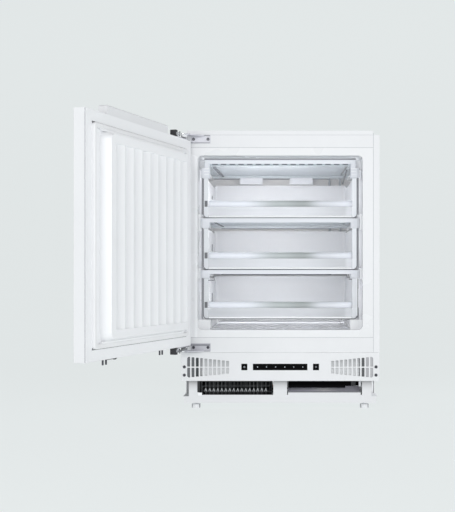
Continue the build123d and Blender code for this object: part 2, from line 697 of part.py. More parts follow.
with BuildPart() as control_box:
    box_between(
        (-BOX_W / 2, BOX_W / 2), (BOX_FRONT, BOX_FRONT + BOX_D), (CONTROL_Z - BOX_H / 2, CONTROL_Z + BOX_H / 2)
    )
    fillet(control_box.edges().filter_by(Axis.Y), 3)
    for side in (-1, 1):
        post = sorted((side * (BOX_W / 2 - 8), side * (BOX_W / 2)))
        box_between(post, (PLINTH_T, BOX_FRONT), (CONTROL_Z + 4, CONTROL_Z + 12))
save(control_box.part, "control_box")

# condenser: one long tube wound to and fro in four upright rows, with wires across the rows
COND_X = (-238.0, -30.0)
COND_R = 2.5
COND_Y = (34.0, 60.0, 86.0, 112.0)
COND_LOW = 48.0
COND_PITCH = 17.0
COND_LEVELS = 7
levels = [COND_LOW + COND_PITCH * k for k in range(COND_LEVELS)]
coil_points = []
for row, y in enumerate(COND_Y):
    for step, z in enumerate(levels if row % 2 == 0 else reversed(levels)):
        ends = COND_X if (row + step) % 2 else COND_X[::-1]
        coil_points += [(ends[0], y, z), (ends[1], y, z)]
coil_start = coil_points[0]
coil_end = coil_points[-1]
with BuildPart() as condenser_coil:
    with BuildLine():
        FilletPolyline(*coil_points, radius=COND_PITCH / 2 - 0.5)
    with BuildSketch(Plane(origin=coil_start, z_dir=(-1, 0, 0))):
        Circle(COND_R)
    sweep()
save(condenser_coil.part, "condenser_coil")

WIRE_R = 0.9
WIRE_COUNT = 20
WIRE_TOP = levels[-1] + 8
WIRE_GAP = 0.05
wire_span = COND_X[1] - COND_X[0] - 24
with BuildPart() as condenser_wires:
    with BuildSketch(Plane.XY.offset(PAN_TOP)):
        for y, side in zip((COND_Y[0], COND_Y[1], COND_Y[2], COND_Y[3]), (-1, 1, -1, 1)):
            with Locations((sum(COND_X) / 2, y + side * (COND_R + WIRE_R + WIRE_GAP))):
                with GridLocations(wire_span / (WIRE_COUNT - 1), 1, WIRE_COUNT, 1):
                    Circle(WIRE_R)
    extrude(amount=WIRE_TOP - PAN_TOP)
save(condenser_wires.part, "condenser_wires")

# condenser fan: shroud with a bearing arm and motor, and a rotor on its shaft
FAN_X = -135.0
FAN_Z = 94.0
FAN_Y = 150.0
FAN_R = 54.0
FAN_GAP = 3.0
SHROUD_W = 130.0
SHROUD_D = 14.0
MOTOR_R = 19.0
MOTOR_D = 26.0
SHAFT_R = 2.5
SHAFT_GAP = 0.08
HUB_R = 15.0
HUB_D = 12.0
BLADE_COUNT = 5
fan_axis = Plane(origin=(FAN_X, FAN_Y, FAN_Z), x_dir=(1, 0, 0), z_dir=(0, 1, 0))
MOTOR_Y0 = SHROUD_D + 8
with BuildPart() as fan_shroud:
    box_between(
        (FAN_X - SHROUD_W / 2, FAN_X + SHROUD_W / 2), (FAN_Y, FAN_Y + SHROUD_D), (PAN_TOP, FAN_Z + SHROUD_W / 2)
    )
    with BuildSketch(fan_axis):
        Circle(FAN_R + FAN_GAP)
    extrude(amount=SHROUD_D, mode=Mode.SUBTRACT)
    with BuildSketch(fan_axis.offset(SHROUD_D)):
        for angle in (90, 210, 330):
            with Locations(Rot(0, 0, angle)):
                with Locations((FAN_R / 2 + MOTOR_R / 2, 0)):
                    Rectangle(FAN_R + FAN_GAP * 4 - MOTOR_R, 9)
        Circle(MOTOR_R + 3)
    extrude(amount=3)
    with BuildSketch(fan_axis.offset(SHROUD_D)):
        Circle(MOTOR_R)
    extrude(amount=MOTOR_D)
    with BuildSketch(fan_axis.offset(SHROUD_D)):
        Circle(SHAFT_R + SHAFT_GAP)
    extrude(amount=MOTOR_D / 2, mode=Mode.SUBTRACT)
save(fan_shroud.part, "fan_shroud")

with BuildPart() as fan_rotor:
    with BuildSketch(fan_axis):
        Circle(HUB_R)
    extrude(amount=HUB_D)
    with BuildSketch(fan_axis.offset(HUB_D)):
        Circle(SHAFT_R)
    extrude(amount=SHROUD_D - HUB_D + MOTOR_D / 2 - 1)
    for k in range(BLADE_COUNT):
        turn = math.radians(360 * k / BLADE_COUNT)
        out = (math.cos(turn), 0, math.sin(turn))
        across = (-math.sin(turn) * 0.8, 0.6, math.cos(turn) * 0.8)
        root = (FAN_X + out[0] * (HUB_R - 3), FAN_Y + HUB_D / 2, FAN_Z + out[2] * (HUB_R - 3))
        with BuildSketch(Plane(origin=root, x_dir=across, z_dir=out)):
            Rectangle(15, 1.6)
        extrude(amount=FAN_R - HUB_R + 1)
save(fan_rotor.part, "fan_rotor")

# compressor on four rubber grommets, with its relay cover
COMP_X = 150.0
COMP_Y = 385.0
COMP_R = 72.0
COMP_Z = (36.0, 148.0)
COMP_FOOT = (190.0, 116.0)
COMP_FOOT_T = 3.0
GROMMET_AT = (80.0, 48.0)
GROMMET_R = 9.0
foot_bottom = COMP_Z[0] - COMP_FOOT_T
with BuildPart() as compressor_shell:
    with BuildSketch(Plane.XY.offset(COMP_Z[0])):
        with Locations((COMP_X, COMP_Y)):
            Circle(COMP_R)
    extrude(amount=COMP_Z[1] - COMP_Z[0])
    fillet(compressor_shell.edges().group_by(Axis.Z)[-1], 34)
    with BuildSketch(Plane.XY.offset(COMP_Z[0] + 46)):
        with Locations((COMP_X, COMP_Y)):
            Circle(COMP_R + 2)
    extrude(amount=4)
    with BuildSketch(Plane.XY.offset(foot_bottom)):
        with Locations((COMP_X, COMP_Y)):
            RectangleRounded(*COMP_FOOT, 12)
    extrude(amount=COMP_FOOT_T)
save(compressor_shell.part, "compressor_shell")

grommet_spots = [(COMP_X + i * GROMMET_AT[0], COMP_Y + j * GROMMET_AT[1]) for i in (-1, 1) for j in (-1, 1)]
with BuildPart() as compressor_grommets:
    with BuildSketch(Plane.XY.offset(PAN_TOP)):
        with Locations(*grommet_spots):
            Circle(GROMMET_R)
    extrude(amount=foot_bottom - PAN_TOP)
save(compressor_grommets.part, "compressor_grommets")

RELAY_OUT = 24.0
RELAY_IN = 16.0
RELAY_W = 48.0
RELAY_Z = (70.0, 112.0)
relay_x = COMP_X - COMP_R
with BuildPart() as compressor_relay:
    box_between((relay_x - RELAY_OUT, relay_x + RELAY_IN), (COMP_Y - RELAY_W / 2, COMP_Y + RELAY_W / 2), RELAY_Z)
    chamfer(compressor_relay.edges().filter_by(Axis.Z), 3)
    add(compressor_shell.part, mode=Mode.SUBTRACT)
save(compressor_relay.part, "compressor_relay")

# filter drier and the tubes between compressor, condenser, drier and cabinet
DRIER_X = (-110.0, -20.0)
DRIER_R = 9.0
DRIER_Y = 300.0
DRIER_Z = PAN_TOP + DRIER_R
TUBE_R = 3.0
CAPILLARY_R = 1.2
with BuildPart() as filter_drier:
    with BuildSketch(Plane(origin=(DRIER_X[0], DRIER_Y, DRIER_Z), z_dir=(1, 0, 0))):
        Circle(DRIER_R)
    extrude(amount=DRIER_X[1] - DRIER_X[0])
    chamfer(filter_drier.edges().filter_by(GeomType.CIRCLE), 4)
save(filter_drier.part, "filter_drier")


def tube(points, radius, bend):
    """A round tube along straight runs joined by bends."""
    with BuildPart() as made:
        with BuildLine():
            FilletPolyline(*points, radius=bend)
        start = Vector(*points[0])
        with BuildSketch(Plane(origin=start, z_dir=Vector(*points[1]) - start)):
            Circle(radius)
        sweep()
    return made.part


LIQUID_X = 0.0
HOT_X = 24.0
HOT_Y = COMP_Y - 30
TUBE_SINK = 12.0
SUCTION_GAP = 24.0
SUCTION_Y = COMP_Y - COMP_R - SUCTION_GAP
SUCTION_Z = 104.0
CAPILLARY_RUN = 26.0
TUBE_BEND = 14.0
with BuildPart() as refrigerant_tubes:
    add(tube([coil_start, (LIQUID_X, coil_start[1], coil_start[2]), (LIQUID_X, DRIER_Y, coil_start[2]),
              (LIQUID_X, DRIER_Y, DRIER_Z), (DRIER_X[1], DRIER_Y, DRIER_Z)], COND_R, 8))
    add(tube([coil_end, (HOT_X, coil_end[1], coil_end[2]), (HOT_X, HOT_Y, coil_end[2]),
              (COMP_X - COMP_R + TUBE_SINK, HOT_Y, coil_end[2])], COND_R, 12))
    add(tube([(COMP_X, COMP_Y - COMP_R + TUBE_SINK, SUCTION_Z), (COMP_X, SUCTION_Y, SUCTION_Z),
              (COMP_X, SUCTION_Y, CASE_BOTTOM)], TUBE_R, TUBE_BEND))
    add(tube([(DRIER_X[0], DRIER_Y, DRIER_Z), (DRIER_X[0] - CAPILLARY_RUN, DRIER_Y, DRIER_Z),
              (DRIER_X[0] - CAPILLARY_RUN, DRIER_Y, CASE_BOTTOM)], CAPILLARY_R, TUBE_BEND))
    add(compressor_shell.part, mode=Mode.SUBTRACT)
save(refrigerant_tubes.part, "refrigerant_tubes")

# tray on the compressor that dries off the defrost water
TRAY_WALL = 1.5
TRAY_W = 150.0
TRAY_D = 118.0
TRAY_H = 14.0
with BuildPart() as drip_tray:
    with BuildSketch(Plane.XY.offset(COMP_Z[1])):
        with Locations((COMP_X, COMP_Y)):
            RectangleRounded(TRAY_W, TRAY_D, TRAY_H)
    extrude(amount=TRAY_H)
    offset(amount=-TRAY_WALL, openings=drip_tray.faces().sort_by(Axis.Z)[-1])
save(drip_tray.part, "drip_tray")

# bright metal sheet behind the right opening of the base
GUIDE_Y = 9.0
GUIDE_T = 1.2
GUIDE_BEND = 47.0
GUIDE_TOP = 65.0
GUIDE_RUN = 26.0
with BuildPart() as air_guide:
    with BuildSketch(side_plane(GUIDE_X[0])):
        with BuildLine():
            Polyline(
                (GUIDE_Y, PAN_TOP),
                (GUIDE_Y, GUIDE_BEND),
                (GUIDE_Y + GUIDE_RUN, GUIDE_TOP),
                (GUIDE_Y + GUIDE_RUN, GUIDE_TOP - GUIDE_T),
                (GUIDE_Y + GUIDE_T, GUIDE_BEND - GUIDE_T / 2),
                (GUIDE_Y + GUIDE_T, PAN_TOP),
                close=True,
            )
        make_face()
    extrude(amount=GUIDE_X[1] - GUIDE_X[0])
save(air_guide.part, "air_guide")

INLET_X = 212.0
with BuildPart() as mains_inlet:
    box_between((INLET_X - 18, INLET_X + 18), (CASE_D - 24, CASE_D), (PAN_TOP, PAN_TOP + 34))
    with BuildSketch(front_plane(CASE_D)):
        with Locations((INLET_X, PAN_TOP + 18)):
            RectangleRounded(25, 17, 3)
    extrude(amount=14, mode=Mode.SUBTRACT)
save(mains_inlet.part, "mains_inlet")

# door panel: a folded pan open towards the cabinet
DOOR_SKIN = 1.0
LINER_T = 2.0
with BuildPart() as door_panel:
    with BuildSketch(door_face(DOOR_INNER_V)):
        with Locations((DOOR_MID_U, DOOR_MID_Z)):
            Rectangle(DOOR_W, DOOR_H)
    extrude(amount=DOOR_T)
    with BuildSketch(door_face(DOOR_INNER_V)):
        with Locations((DOOR_MID_U, DOOR_MID_Z)):
            Rectangle(DOOR_W - 2 * DOOR_SKIN, DOOR_H - 2 * DOOR_SKIN)
    extrude(amount=DOOR_T - DOOR_SKIN, mode=Mode.SUBTRACT)
    with BuildSketch(door_plan(DOOR_BOTTOM)):
        for t in STUD_T:
            for side in (-1, 1):
                with Locations((DOOR_FREE_U - t + side * STUD_PAIR / 2, (DOOR_INNER_V + DOOR_OUTER_V) / 2)):
                    Circle(STUD_ROOT_R)
    extrude(amount=DOOR_SKIN, mode=Mode.SUBTRACT)
save(door_panel.part, "door_panel")

# raised middle of the door liner, drafted on all sides, with upright ribs
PLUG_W = DOOR_W - 2 * PLUG_SIDE
PLUG_TALL = DOOR_H - 2 * PLUG_END


def door_plug(wall):
    """The raised middle of the door liner, made smaller by a wall."""
    with BuildPart() as made:
        with BuildSketch(door_face(DOOR_INNER_V - LINER_T)):
            with Locations((DOOR_MID_U, DOOR_MID_Z)):
                RectangleRounded(PLUG_W - 2 * wall, PLUG_TALL - 2 * wall, 22 - wall)
        with BuildSketch(door_face(DOOR_INNER_V + PLUG_H - wall)):
            with Locations((DOOR_MID_U, DOOR_MID_Z)):
                RectangleRounded(
                    PLUG_W - 2 * PLUG_DRAFT - 2 * wall, PLUG_TALL - 2 * PLUG_DRAFT - 2 * wall, 16 - wall
                )
        loft(ruled=True)
    return made.part


plug_outside = door_plug(0)
FLUTE_MARGIN = 21.5
FLUTE_TALL = PLUG_TALL - 2 * PLUG_DRAFT - 2 * FLUTE_MARGIN
FLUTE_R = (FLUTE_W**2 / 4 + FLUTE_DEPTH**2) / (2 * FLUTE_DEPTH)
flute_spots = [
    (DOOR_FREE_U - FLUTE_FIRST_T - FLUTE_PITCH * k, DOOR_INNER_V + PLUG_H - FLUTE_DEPTH + FLUTE_R)
    for k in range(FLUTE_COUNT)
]


def door_flutes(wall):
    """The upright hollows in the plug's face, made larger by a wall."""
    with BuildPart() as made:
        for spot in flute_spots:
            with BuildSketch(door_plan(DOOR_MID_Z - FLUTE_TALL / 2 - wall)):
                with Locations(spot):
                    Circle(FLUTE_R + wall)
                with Locations((spot[0], spot[1] + FLUTE_DEPTH + wall)):
                    Rectangle(4 * FLUTE_R, 2 * FLUTE_R, mode=Mode.SUBTRACT)
            extrude(amount=FLUTE_TALL + 2 * wall)
    return made.part


with BuildPart() as core:
    add(door_plug(LINER_T))
    add(door_flutes(LINER_T), mode=Mode.SUBTRACT)
door_core = core.part
with BuildPart() as door_liner:
    with BuildSketch(door_face(DOOR_INNER_V)):
        with Locations((DOOR_MID_U, DOOR_MID_Z)):
            Rectangle(DOOR_W - 2 * DOOR_SKIN, DOOR_H - 2 * DOOR_SKIN)
    extrude(amount=LINER_T)
    add(plug_outside)
    add(door_core, mode=Mode.SUBTRACT)
    add(door_flutes(0), mode=Mode.SUBTRACT)
save(door_liner.part, "door_liner")

with BuildPart() as door_foam:
    with BuildSketch(door_face(DOOR_INNER_V - LINER_T)):
        with Locations((DOOR_MID_U, DOOR_MID_Z)):
            Rectangle(DOOR_W - 2 * DOOR_SKIN, DOOR_H - 2 * DOOR_SKIN)
    extrude(amount=DOOR_T - LINER_T - DOOR_SKIN)
    add(door_core)
    with BuildSketch(door_plan(DOOR_BOTTOM)):
        for t in STUD_T:
            for side in (-1, 1):
                with Locations((DOOR_FREE_U - t + side * STUD_PAIR / 2, (DOOR_INNER_V + DOOR_OUTER_V) / 2)):
                    Circle(STUD_ROOT_R)
    extrude(amount=STUD_L, mode=Mode.SUBTRACT)
save(door_foam.part, "door_foam")

GASKET_R = 10.0
with BuildPart() as door_gasket:
    with BuildSketch(door_face(DOOR_INNER_V)):
        with Locations((DOOR_MID_U, DOOR_MID_Z)):
            RectangleRounded(DOOR_W - 2 * GASKET_INSET, DOOR_H - 2 * GASKET_INSET, GASKET_R)
            inner_w = DOOR_W - 2 * GASKET_INSET - 2 * GASKET_W
            inner_h = DOOR_H - 2 * GASKET_INSET - 2 * GASKET_W
            RectangleRounded(inner_w, inner_h, GASKET_R / 2, mode=Mode.SUBTRACT)
    extrude(amount=-GASKET_T)
    rim_edges = door_gasket.edges().filter_by(
        lambda e: abs((e.center() - door_point(0, DOOR_INNER_V + GASKET_T)).dot(DOOR_V)) < 0.01
    )
    chamfer(rim_edges, 2)
save(door_gasket.part, "door_gasket")

# white rail on the door's top edge and studs under its bottom edge, for hanging the furniture door
RAIL_MID_U = ARM_L + FIX_RAIL_GAP + FIX_RAIL_L / 2
RAIL_MID_V = (DOOR_INNER_V + DOOR_OUTER_V) / 2
with BuildPart() as fixing_rail:
    with BuildSketch(door_plan(DOOR_TOP)):
        with Locations((RAIL_MID_U, RAIL_MID_V)):
            Rectangle(FIX_RAIL_L, FIX_RAIL_D)
    extrude(amount=FIX_RAIL_H)
    chamfer(fixing_rail.edges().group_by(Axis.Z)[-1], 3)
save(fixing_rail.part, "fixing_rail")

with BuildPart() as fixing_studs:
    for radius, start in ((STUD_R, DOOR_BOTTOM - STUD_L), (STUD_ROOT_R, DOOR_BOTTOM)):
        with BuildSketch(door_plan(start)):
            for t in STUD_T:
                for side in (-1, 1):
                    with Locations((DOOR_FREE_U - t + side * STUD_PAIR / 2, RAIL_MID_V)):
                        Circle(radius)
        extrude(amount=STUD_L)
    chamfer(fixing_studs.edges().group_by(Axis.Z)[0], STUD_TIP)
save(fixing_studs.part, "fixing_studs")

# hinges: a plate on the cabinet with a lug and two pins, an arm on the door, and a link between
mid_open = math.radians(-OPEN_DEG / 2)
LINK_X = AXIS_X + LINK_PIVOT * math.cos(mid_open)
LINK_Y = AXIS_Y + LINK_PIVOT * math.sin(mid_open)
LUG_Z = (HINGE_PLATE_Z[1] - LUG_T, HINGE_PLATE_Z[1])
LINK_Z = (LUG_Z[0] - PIN_GAP - LINK_T, LUG_Z[0] - PIN_GAP)
ARM_Z = (DOOR_TOP, DOOR_TOP + ARM_T)
LUG_R = 7.0
mirror_plane = Plane.XY.offset(DOOR_MID_Z)


def save_pair(part, stem):
    """Writes an upper piece and its mirror image below."""
    save(part, f"{stem}_upper")
    save(mirror(part, about=mirror_plane), f"{stem}_lower")


with BuildPart() as hinge_plate:
    plate_mid = sum(HINGE_PLATE_X) / 2
    with BuildSketch(front_plane(0)):
        with Locations((plate_mid, sum(HINGE_PLATE_Z) / 2)):
            Rectangle(HINGE_PLATE_X[1] - HINGE_PLATE_X[0], HINGE_PLATE_Z[1] - HINGE_PLATE_Z[0])
        with Locations(*hinge_screw_spots[:2]):
            Circle(HINGE_SCREW_R, mode=Mode.SUBTRACT)
    extrude(amount=HINGE_PLATE_T)
    with BuildSketch(Plane.XY.offset(LUG_Z[0])):
        with BuildLine():
            Polyline(
                (HINGE_PLATE_X[0] + 44, 0),
                (HINGE_PLATE_X[0], 0),
                (AXIS_X, AXIS_Y),
                (LINK_X, LINK_Y),
                (HINGE_PLATE_X[0] + 16, LINK_Y + 8),
                close=True,
            )
        make_face()
        with Locations((AXIS_X, AXIS_Y), (LINK_X, LINK_Y)):
            Circle(LUG_R)
    extrude(amount=LUG_T)
    with BuildSketch(Plane.XY.offset(ARM_Z[0])):
        with Locations((AXIS_X, AXIS_Y)):
            Circle(PIN_R)
    extrude(amount=LUG_Z[0] - ARM_Z[0])
    with BuildSketch(Plane.XY.offset(LINK_Z[0])):
        with Locations((LINK_X, LINK_Y)):
            Circle(PIN_R)
    extrude(amount=LUG_Z[0] - LINK_Z[0])
save_pair(hinge_plate.part, "hinge_plate")

with BuildPart() as hinge_link:
    with BuildSketch(Plane(origin=(LINK_X, LINK_Y, LINK_Z[0]), x_dir=DOOR_U, z_dir=(0, 0, 1))):
        with Locations((LINK_L / 2, 0)):
            SlotCenterToCenter(LINK_L, LINK_W)
        Circle(PIN_R + PIN_GAP, mode=Mode.SUBTRACT)
    extrude(amount=LINK_T)
save_pair(hinge_link.part, "hinge_link")

BOSS_R = 6.5
with BuildPart() as hinge_arm:
    with BuildSketch(door_plan(ARM_Z[0])):
        with Locations(((DOOR_EDGE_U + ARM_L) / 2, 0)):
            Rectangle(ARM_L - DOOR_EDGE_U, ARM_W)
        Circle(BOSS_R)
        Circle(PIN_R + PIN_GAP, mode=Mode.SUBTRACT)
    extrude(amount=ARM_T)
    with BuildSketch(door_plan(ARM_Z[0])):
        with Locations((ARM_L - BLOCK_L / 2, 0)):
            Rectangle(BLOCK_L, ARM_W)
    extrude(amount=BLOCK_H)
    chamfer(hinge_arm.edges().group_by(Axis.Z)[-1], 1)
save_pair(hinge_arm.part, "hinge_arm")

with BuildPart() as hinge_screws:
    with BuildSketch(front_plane(-HINGE_PLATE_T)):
        with Locations(*hinge_screw_spots):
            Circle(HINGE_HEAD_R)
    extrude(amount=2.2)
    chamfer(hinge_screws.edges().group_by(Axis.Y)[0], 0.8)
    with BuildSketch(front_plane(-HINGE_PLATE_T)):
        with Locations(*hinge_screw_spots):
            Circle(HINGE_SCREW_R)
    extrude(amount=-(HINGE_SCREW_L + HINGE_PLATE_T))
save(hinge_screws.part, "hinge_screws")
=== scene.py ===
"""Visual model of the undercounter freezer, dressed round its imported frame."""

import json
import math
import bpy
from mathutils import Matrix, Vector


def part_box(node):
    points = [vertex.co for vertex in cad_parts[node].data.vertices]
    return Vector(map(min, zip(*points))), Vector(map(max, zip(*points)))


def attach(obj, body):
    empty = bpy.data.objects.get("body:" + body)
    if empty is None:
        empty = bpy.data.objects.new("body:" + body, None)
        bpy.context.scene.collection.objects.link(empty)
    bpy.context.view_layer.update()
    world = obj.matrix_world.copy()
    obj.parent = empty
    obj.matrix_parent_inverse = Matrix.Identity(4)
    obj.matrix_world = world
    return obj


bl_info = {
    "name": "Undercounter freezer",
    "version": (1, 0, 0),
    "blender": (4, 5, 0),
    "location": "View3D > Sidebar > Freezer",
    "description": "Dresses the undercounter freezer with its finishes and fine parts",
    "category": "Object",
}

from collections import namedtuple

import bmesh
import bpy
from mathutils import Matrix, Vector

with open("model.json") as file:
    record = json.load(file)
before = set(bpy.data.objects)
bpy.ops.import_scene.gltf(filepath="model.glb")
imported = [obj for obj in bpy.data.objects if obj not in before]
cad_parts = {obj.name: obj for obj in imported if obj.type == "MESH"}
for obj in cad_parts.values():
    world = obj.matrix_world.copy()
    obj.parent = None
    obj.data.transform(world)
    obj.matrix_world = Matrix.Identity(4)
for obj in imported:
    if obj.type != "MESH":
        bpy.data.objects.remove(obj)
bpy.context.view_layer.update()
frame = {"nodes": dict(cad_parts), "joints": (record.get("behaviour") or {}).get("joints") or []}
MM = 0.001
SIDES = (("left", -1), ("right", 1))

# the door's directions at rest, as in the frame's own joint
DOOR_JOINT = next(j for j in frame["joints"] if j["name"] == "door_swing")
AXIS = Vector(DOOR_JOINT["pos_m"])
OPEN = math.radians(DOOR_JOINT["range_deg"][0])
DOOR_U = Vector((math.cos(OPEN), math.sin(OPEN), 0.0))
DOOR_V = Vector((-math.sin(OPEN), math.cos(OPEN), 0.0))


def door_point(u, v, z):
    """A point along the door, towards the cabinet side of it, and up, in millimetres."""
    flat = DOOR_U * (u * MM) + DOOR_V * (v * MM)
    return Vector((AXIS.x + flat.x, AXIS.y + flat.y, z * MM))


# Node tree helpers


def new_tree(name, roughness, metallic=0.0):
    """A material with its node tree, and its shader node."""
    material = bpy.data.materials.new(name)
    material.use_nodes = True
    tree = material.node_tree
    shader = tree.nodes["Principled BSDF"]
    shader.inputs["Roughness"].default_value = roughness
    shader.inputs["Metallic"].default_value = metallic
    return material, tree, shader


def feed(shader, name, value):
    """Joins a value to one of the shader's inputs."""
    shader.id_data.links.new(value, shader.inputs[name])


def object_coords(tree, scale=(1, 1, 1)):
    """Object coordinates through a mapping that may stretch them."""
    coords = tree.nodes.new("ShaderNodeTexCoord")
    mapping = tree.nodes.new("ShaderNodeMapping")
    mapping.inputs["Scale"].default_value = scale
    tree.links.new(coords.outputs["Object"], mapping.inputs["Vector"])
    return mapping.outputs["Vector"]


def noise(tree, vector, scale, detail=2.0, rough=0.5):
    """Cloudy values between 0 and 1."""
    node = tree.nodes.new("ShaderNodeTexNoise")
    node.inputs["Scale"].default_value = scale
    node.inputs["Detail"].default_value = detail
    node.inputs["Roughness"].default_value = rough
    tree.links.new(vector, node.inputs["Vector"])
    return node.outputs["Fac"]


def ramp(tree, value, stops, easing="LINEAR"):
    """A colour ramp from (place, colour) stops."""
    node = tree.nodes.new("ShaderNodeValToRGB")
    node.color_ramp.interpolation = easing
    elements = node.color_ramp.elements
    while len(elements) < len(stops):
        elements.new(0.5)
    for element, (place, colour) in zip(elements, stops):
        element.position = place
        element.color = (*colour, 1.0)
    tree.links.new(value, node.inputs["Fac"])
    return node.outputs["Color"]


def remap(tree, value, low, high, to_low=0.0, to_high=1.0):
    """Carries a value over from one range to another."""
    node = tree.nodes.new("ShaderNodeMapRange")
    node.inputs["From Min"].default_value = low
    node.inputs["From Max"].default_value = high
    node.inputs["To Min"].default_value = to_low
    node.inputs["To Max"].default_value = to_high
    tree.links.new(value, node.inputs["Value"])
    return node.outputs["Result"]


def bump(tree, shader, height, distance, strength):
    """Raises the surface by a height value."""
    node = tree.nodes.new("ShaderNodeBump")
    node.inputs["Distance"].default_value = distance
    node.inputs["Strength"].default_value = strength
    tree.links.new(height, node.inputs["Height"])
    feed(shader, "Normal", node.outputs["Normal"])


def axis_value(tree, vector, axis):
    """One of a vector's three values."""
    node = tree.nodes.new("ShaderNodeSeparateXYZ")
    tree.links.new(vector, node.inputs["Vector"])
    return node.outputs[axis]


def along(tree, vector, axis, low, high):
    """How far a point has come between two places on an axis, from 0 to 1."""
    return remap(tree, axis_value(tree, vector, axis), low, high)


def maths(tree, operation, *values):
    """One operation on sockets or plain numbers."""
    node = tree.nodes.new("ShaderNodeMath")
    node.operation = operation
    for socket, value in zip(node.inputs, values):
        if isinstance(value, float):
            socket.default_value = value
        else:
            tree.links.new(value, socket)
    return node.outputs[0]


def shade(colour, factor):
    """A colour made darker or lighter, up to full white."""
    return tuple(min(1.0, c * factor) for c in colour)


def mottled(tree, shader, vector, colour, spread, scale):
    """Colour that drifts a little over the surface; returns what it drifts by."""
    cloud = noise(tree, vector, scale, 3.0)
    stops = ((0.3, shade(colour, 1 - spread)), (0.7, shade(colour, 1 + spread)))
    feed(shader, "Base Color", ramp(tree, cloud, stops))
    return cloud


# Finishes


def grained(name, colour, roughness, cloud, gloss, grain, metallic=0.0):
    """A finish whose colour and gloss drift together, under a fine grain."""
    material, tree, shader = new_tree(name, roughness, metallic)
    vector = object_coords(tree)
    drift = mottled(tree, shader, vector, colour, *cloud)
    feed(shader, "Roughness", remap(tree, drift, *gloss))
    scale, detail, rough, depth, strength = grain
    bump(tree, shader, noise(tree, vector, scale, detail, rough), depth, strength)
    return material


def powder_coat(name, colour, roughness=0.38):
    """Sheet steel with a baked coat, slightly orange-peeled."""
    gloss = (0.2, 0.8, roughness - 0.04, roughness + 0.05)
    return grained(name, colour, roughness, (0.012, 6.0), gloss, (900.0, 2.0, 0.5, 0.00006, 0.35))


def moulded_plastic(name, colour, roughness=0.42, grain=1600.0, depth=0.00004):
    """Injection-moulded plastic with a fine spark-eroded grain."""
    gloss = (0.2, 0.8, roughness - 0.03, roughness + 0.05)
    return grained(name, colour, roughness, (0.012, 14.0), gloss, (grain, 3.0, 0.6, depth, 0.4))


def drawn_liner(name, colour, roughness=0.28):
    """Vacuum-formed sheet: glossy, with slow waves left by the forming."""
    gloss = (0.2, 0.8, roughness - 0.05, roughness + 0.06)
    return grained(name, colour, roughness, (0.01, 5.0), gloss, (26.0, 1.0, 0.5, 0.0006, 0.12))


def satin_zinc(name, colour):
    """Stamped steel with a dull plating, a little cloudy."""
    gloss = (0.3, 0.7, 0.42, 0.58)
    return grained(name, colour, 0.5, (0.04, 90.0), gloss, (700.0, 3.0, 0.5, 0.00004, 0.4), 0.3)


def cabinet_liner(name, colour):
    """The cabinet's liner sheet, paler on the flange beside the hinges, which the open door lights."""
    material = drawn_liner(name, colour)
    tree = material.node_tree
    socket = tree.nodes["Principled BSDF"].inputs["Base Color"]
    sheet = socket.links[0].from_socket
    vector = object_coords(tree)
    beside = along(tree, vector, "X", -0.28, -0.24)
    above = along(tree, vector, "Z", 0.758, 0.772)
    across = maths(tree, "ADD", beside, above)
    top = 1.2
    lifts = (
        (0.0, 1.1), (0.3, 1.13), (0.35, 1.18), (0.42, 1.08),
        (0.55, 1.05), (0.62, 1.12), (0.77, 1.13), (0.8, 1.0),
    )
    grade = ramp(tree, across, [(place, (lift / top,) * 3) for place, lift in lifts])
    scaled = tree.nodes.new("ShaderNodeVectorMath")
    scaled.operation = "SCALE"
    scaled.inputs["Scale"].default_value = top
    tree.links.new(grade, scaled.inputs[0])
    lifted = tree.nodes.new("ShaderNodeVectorMath")
    lifted.operation = "MULTIPLY"
    tree.links.new(sheet, lifted.inputs[0])
    tree.links.new(scaled.outputs["Vector"], lifted.inputs[1])
    tree.links.new(lifted.outputs["Vector"], socket)
    return material


def brushed_metal(name, colour, roughness=0.3, stretch=(4, 120, 120)):
    """Metal with fine scratches along one direction."""
    material, tree, shader = new_tree(name, roughness, 1.0)
    lines = noise(tree, object_coords(tree, stretch), 14.0, 4.0, 0.7)
    stops = ((0.25, shade(colour, 0.86)), (0.75, shade(colour, 1.1)))
    feed(shader, "Base Color", ramp(tree, lines, stops))
    rough = remap(tree, lines, 0.2, 0.8, roughness - 0.08, roughness + 0.12)
    feed(shader, "Roughness", rough)
    bump(tree, shader, lines, 0.00003, 0.5)
    return material


def polished_metal(name, colour, roughness):
    """Plated steel with faint handling marks."""
    material, tree, shader = new_tree(name, roughness, 1.0)
    marks = noise(tree, object_coords(tree), 160.0, 5.0, 0.75)
    feed(shader, "Roughness", remap(tree, marks, 0.3, 0.8, roughness, roughness + 0.18))
    stops = ((0.2, shade(colour, 0.88)), (0.8, shade(colour, 1.05)))
    feed(shader, "Base Color", ramp(tree, marks, stops))
    bump(tree, shader, marks, 0.00003, 0.3)
    return material


def graded(name, roughness, axis, span, stops, grain=None, stretch=(1, 1, 1), metallic=0.0, easing="LINEAR"):
    """A finish whose colour changes along one axis, between two places on it."""
    material, tree, shader = new_tree(name, roughness, metallic)
    place = along(tree, object_coords(tree), axis, *span)
    feed(shader, "Base Color", ramp(tree, place, stops, easing))
    if grain:
        scale, detail, depth, strength = grain
        bump(tree, shader, noise(tree, object_coords(tree, stretch), scale, detail), depth, strength)
    return material


def guide_sheet(name):
    """Sheet with a painted highlight, palest at the middle of its width and painted darker towards its outer
    side, with fine lines along it.
    """
    side = (0.44, 0.44, 0.50)
    middle = (0.74, 0.74, 0.76)
    stops = ((0.0, side), (0.3, shade(side, 1.2)), (0.5, middle), (0.72, side), (1.0, shade(side, 0.8)))
    return graded(name, 0.45, "X", (0.024, 0.242), stops, (14.0, 3.0, 0.00004, 0.4), (2, 90, 90), 0.2)


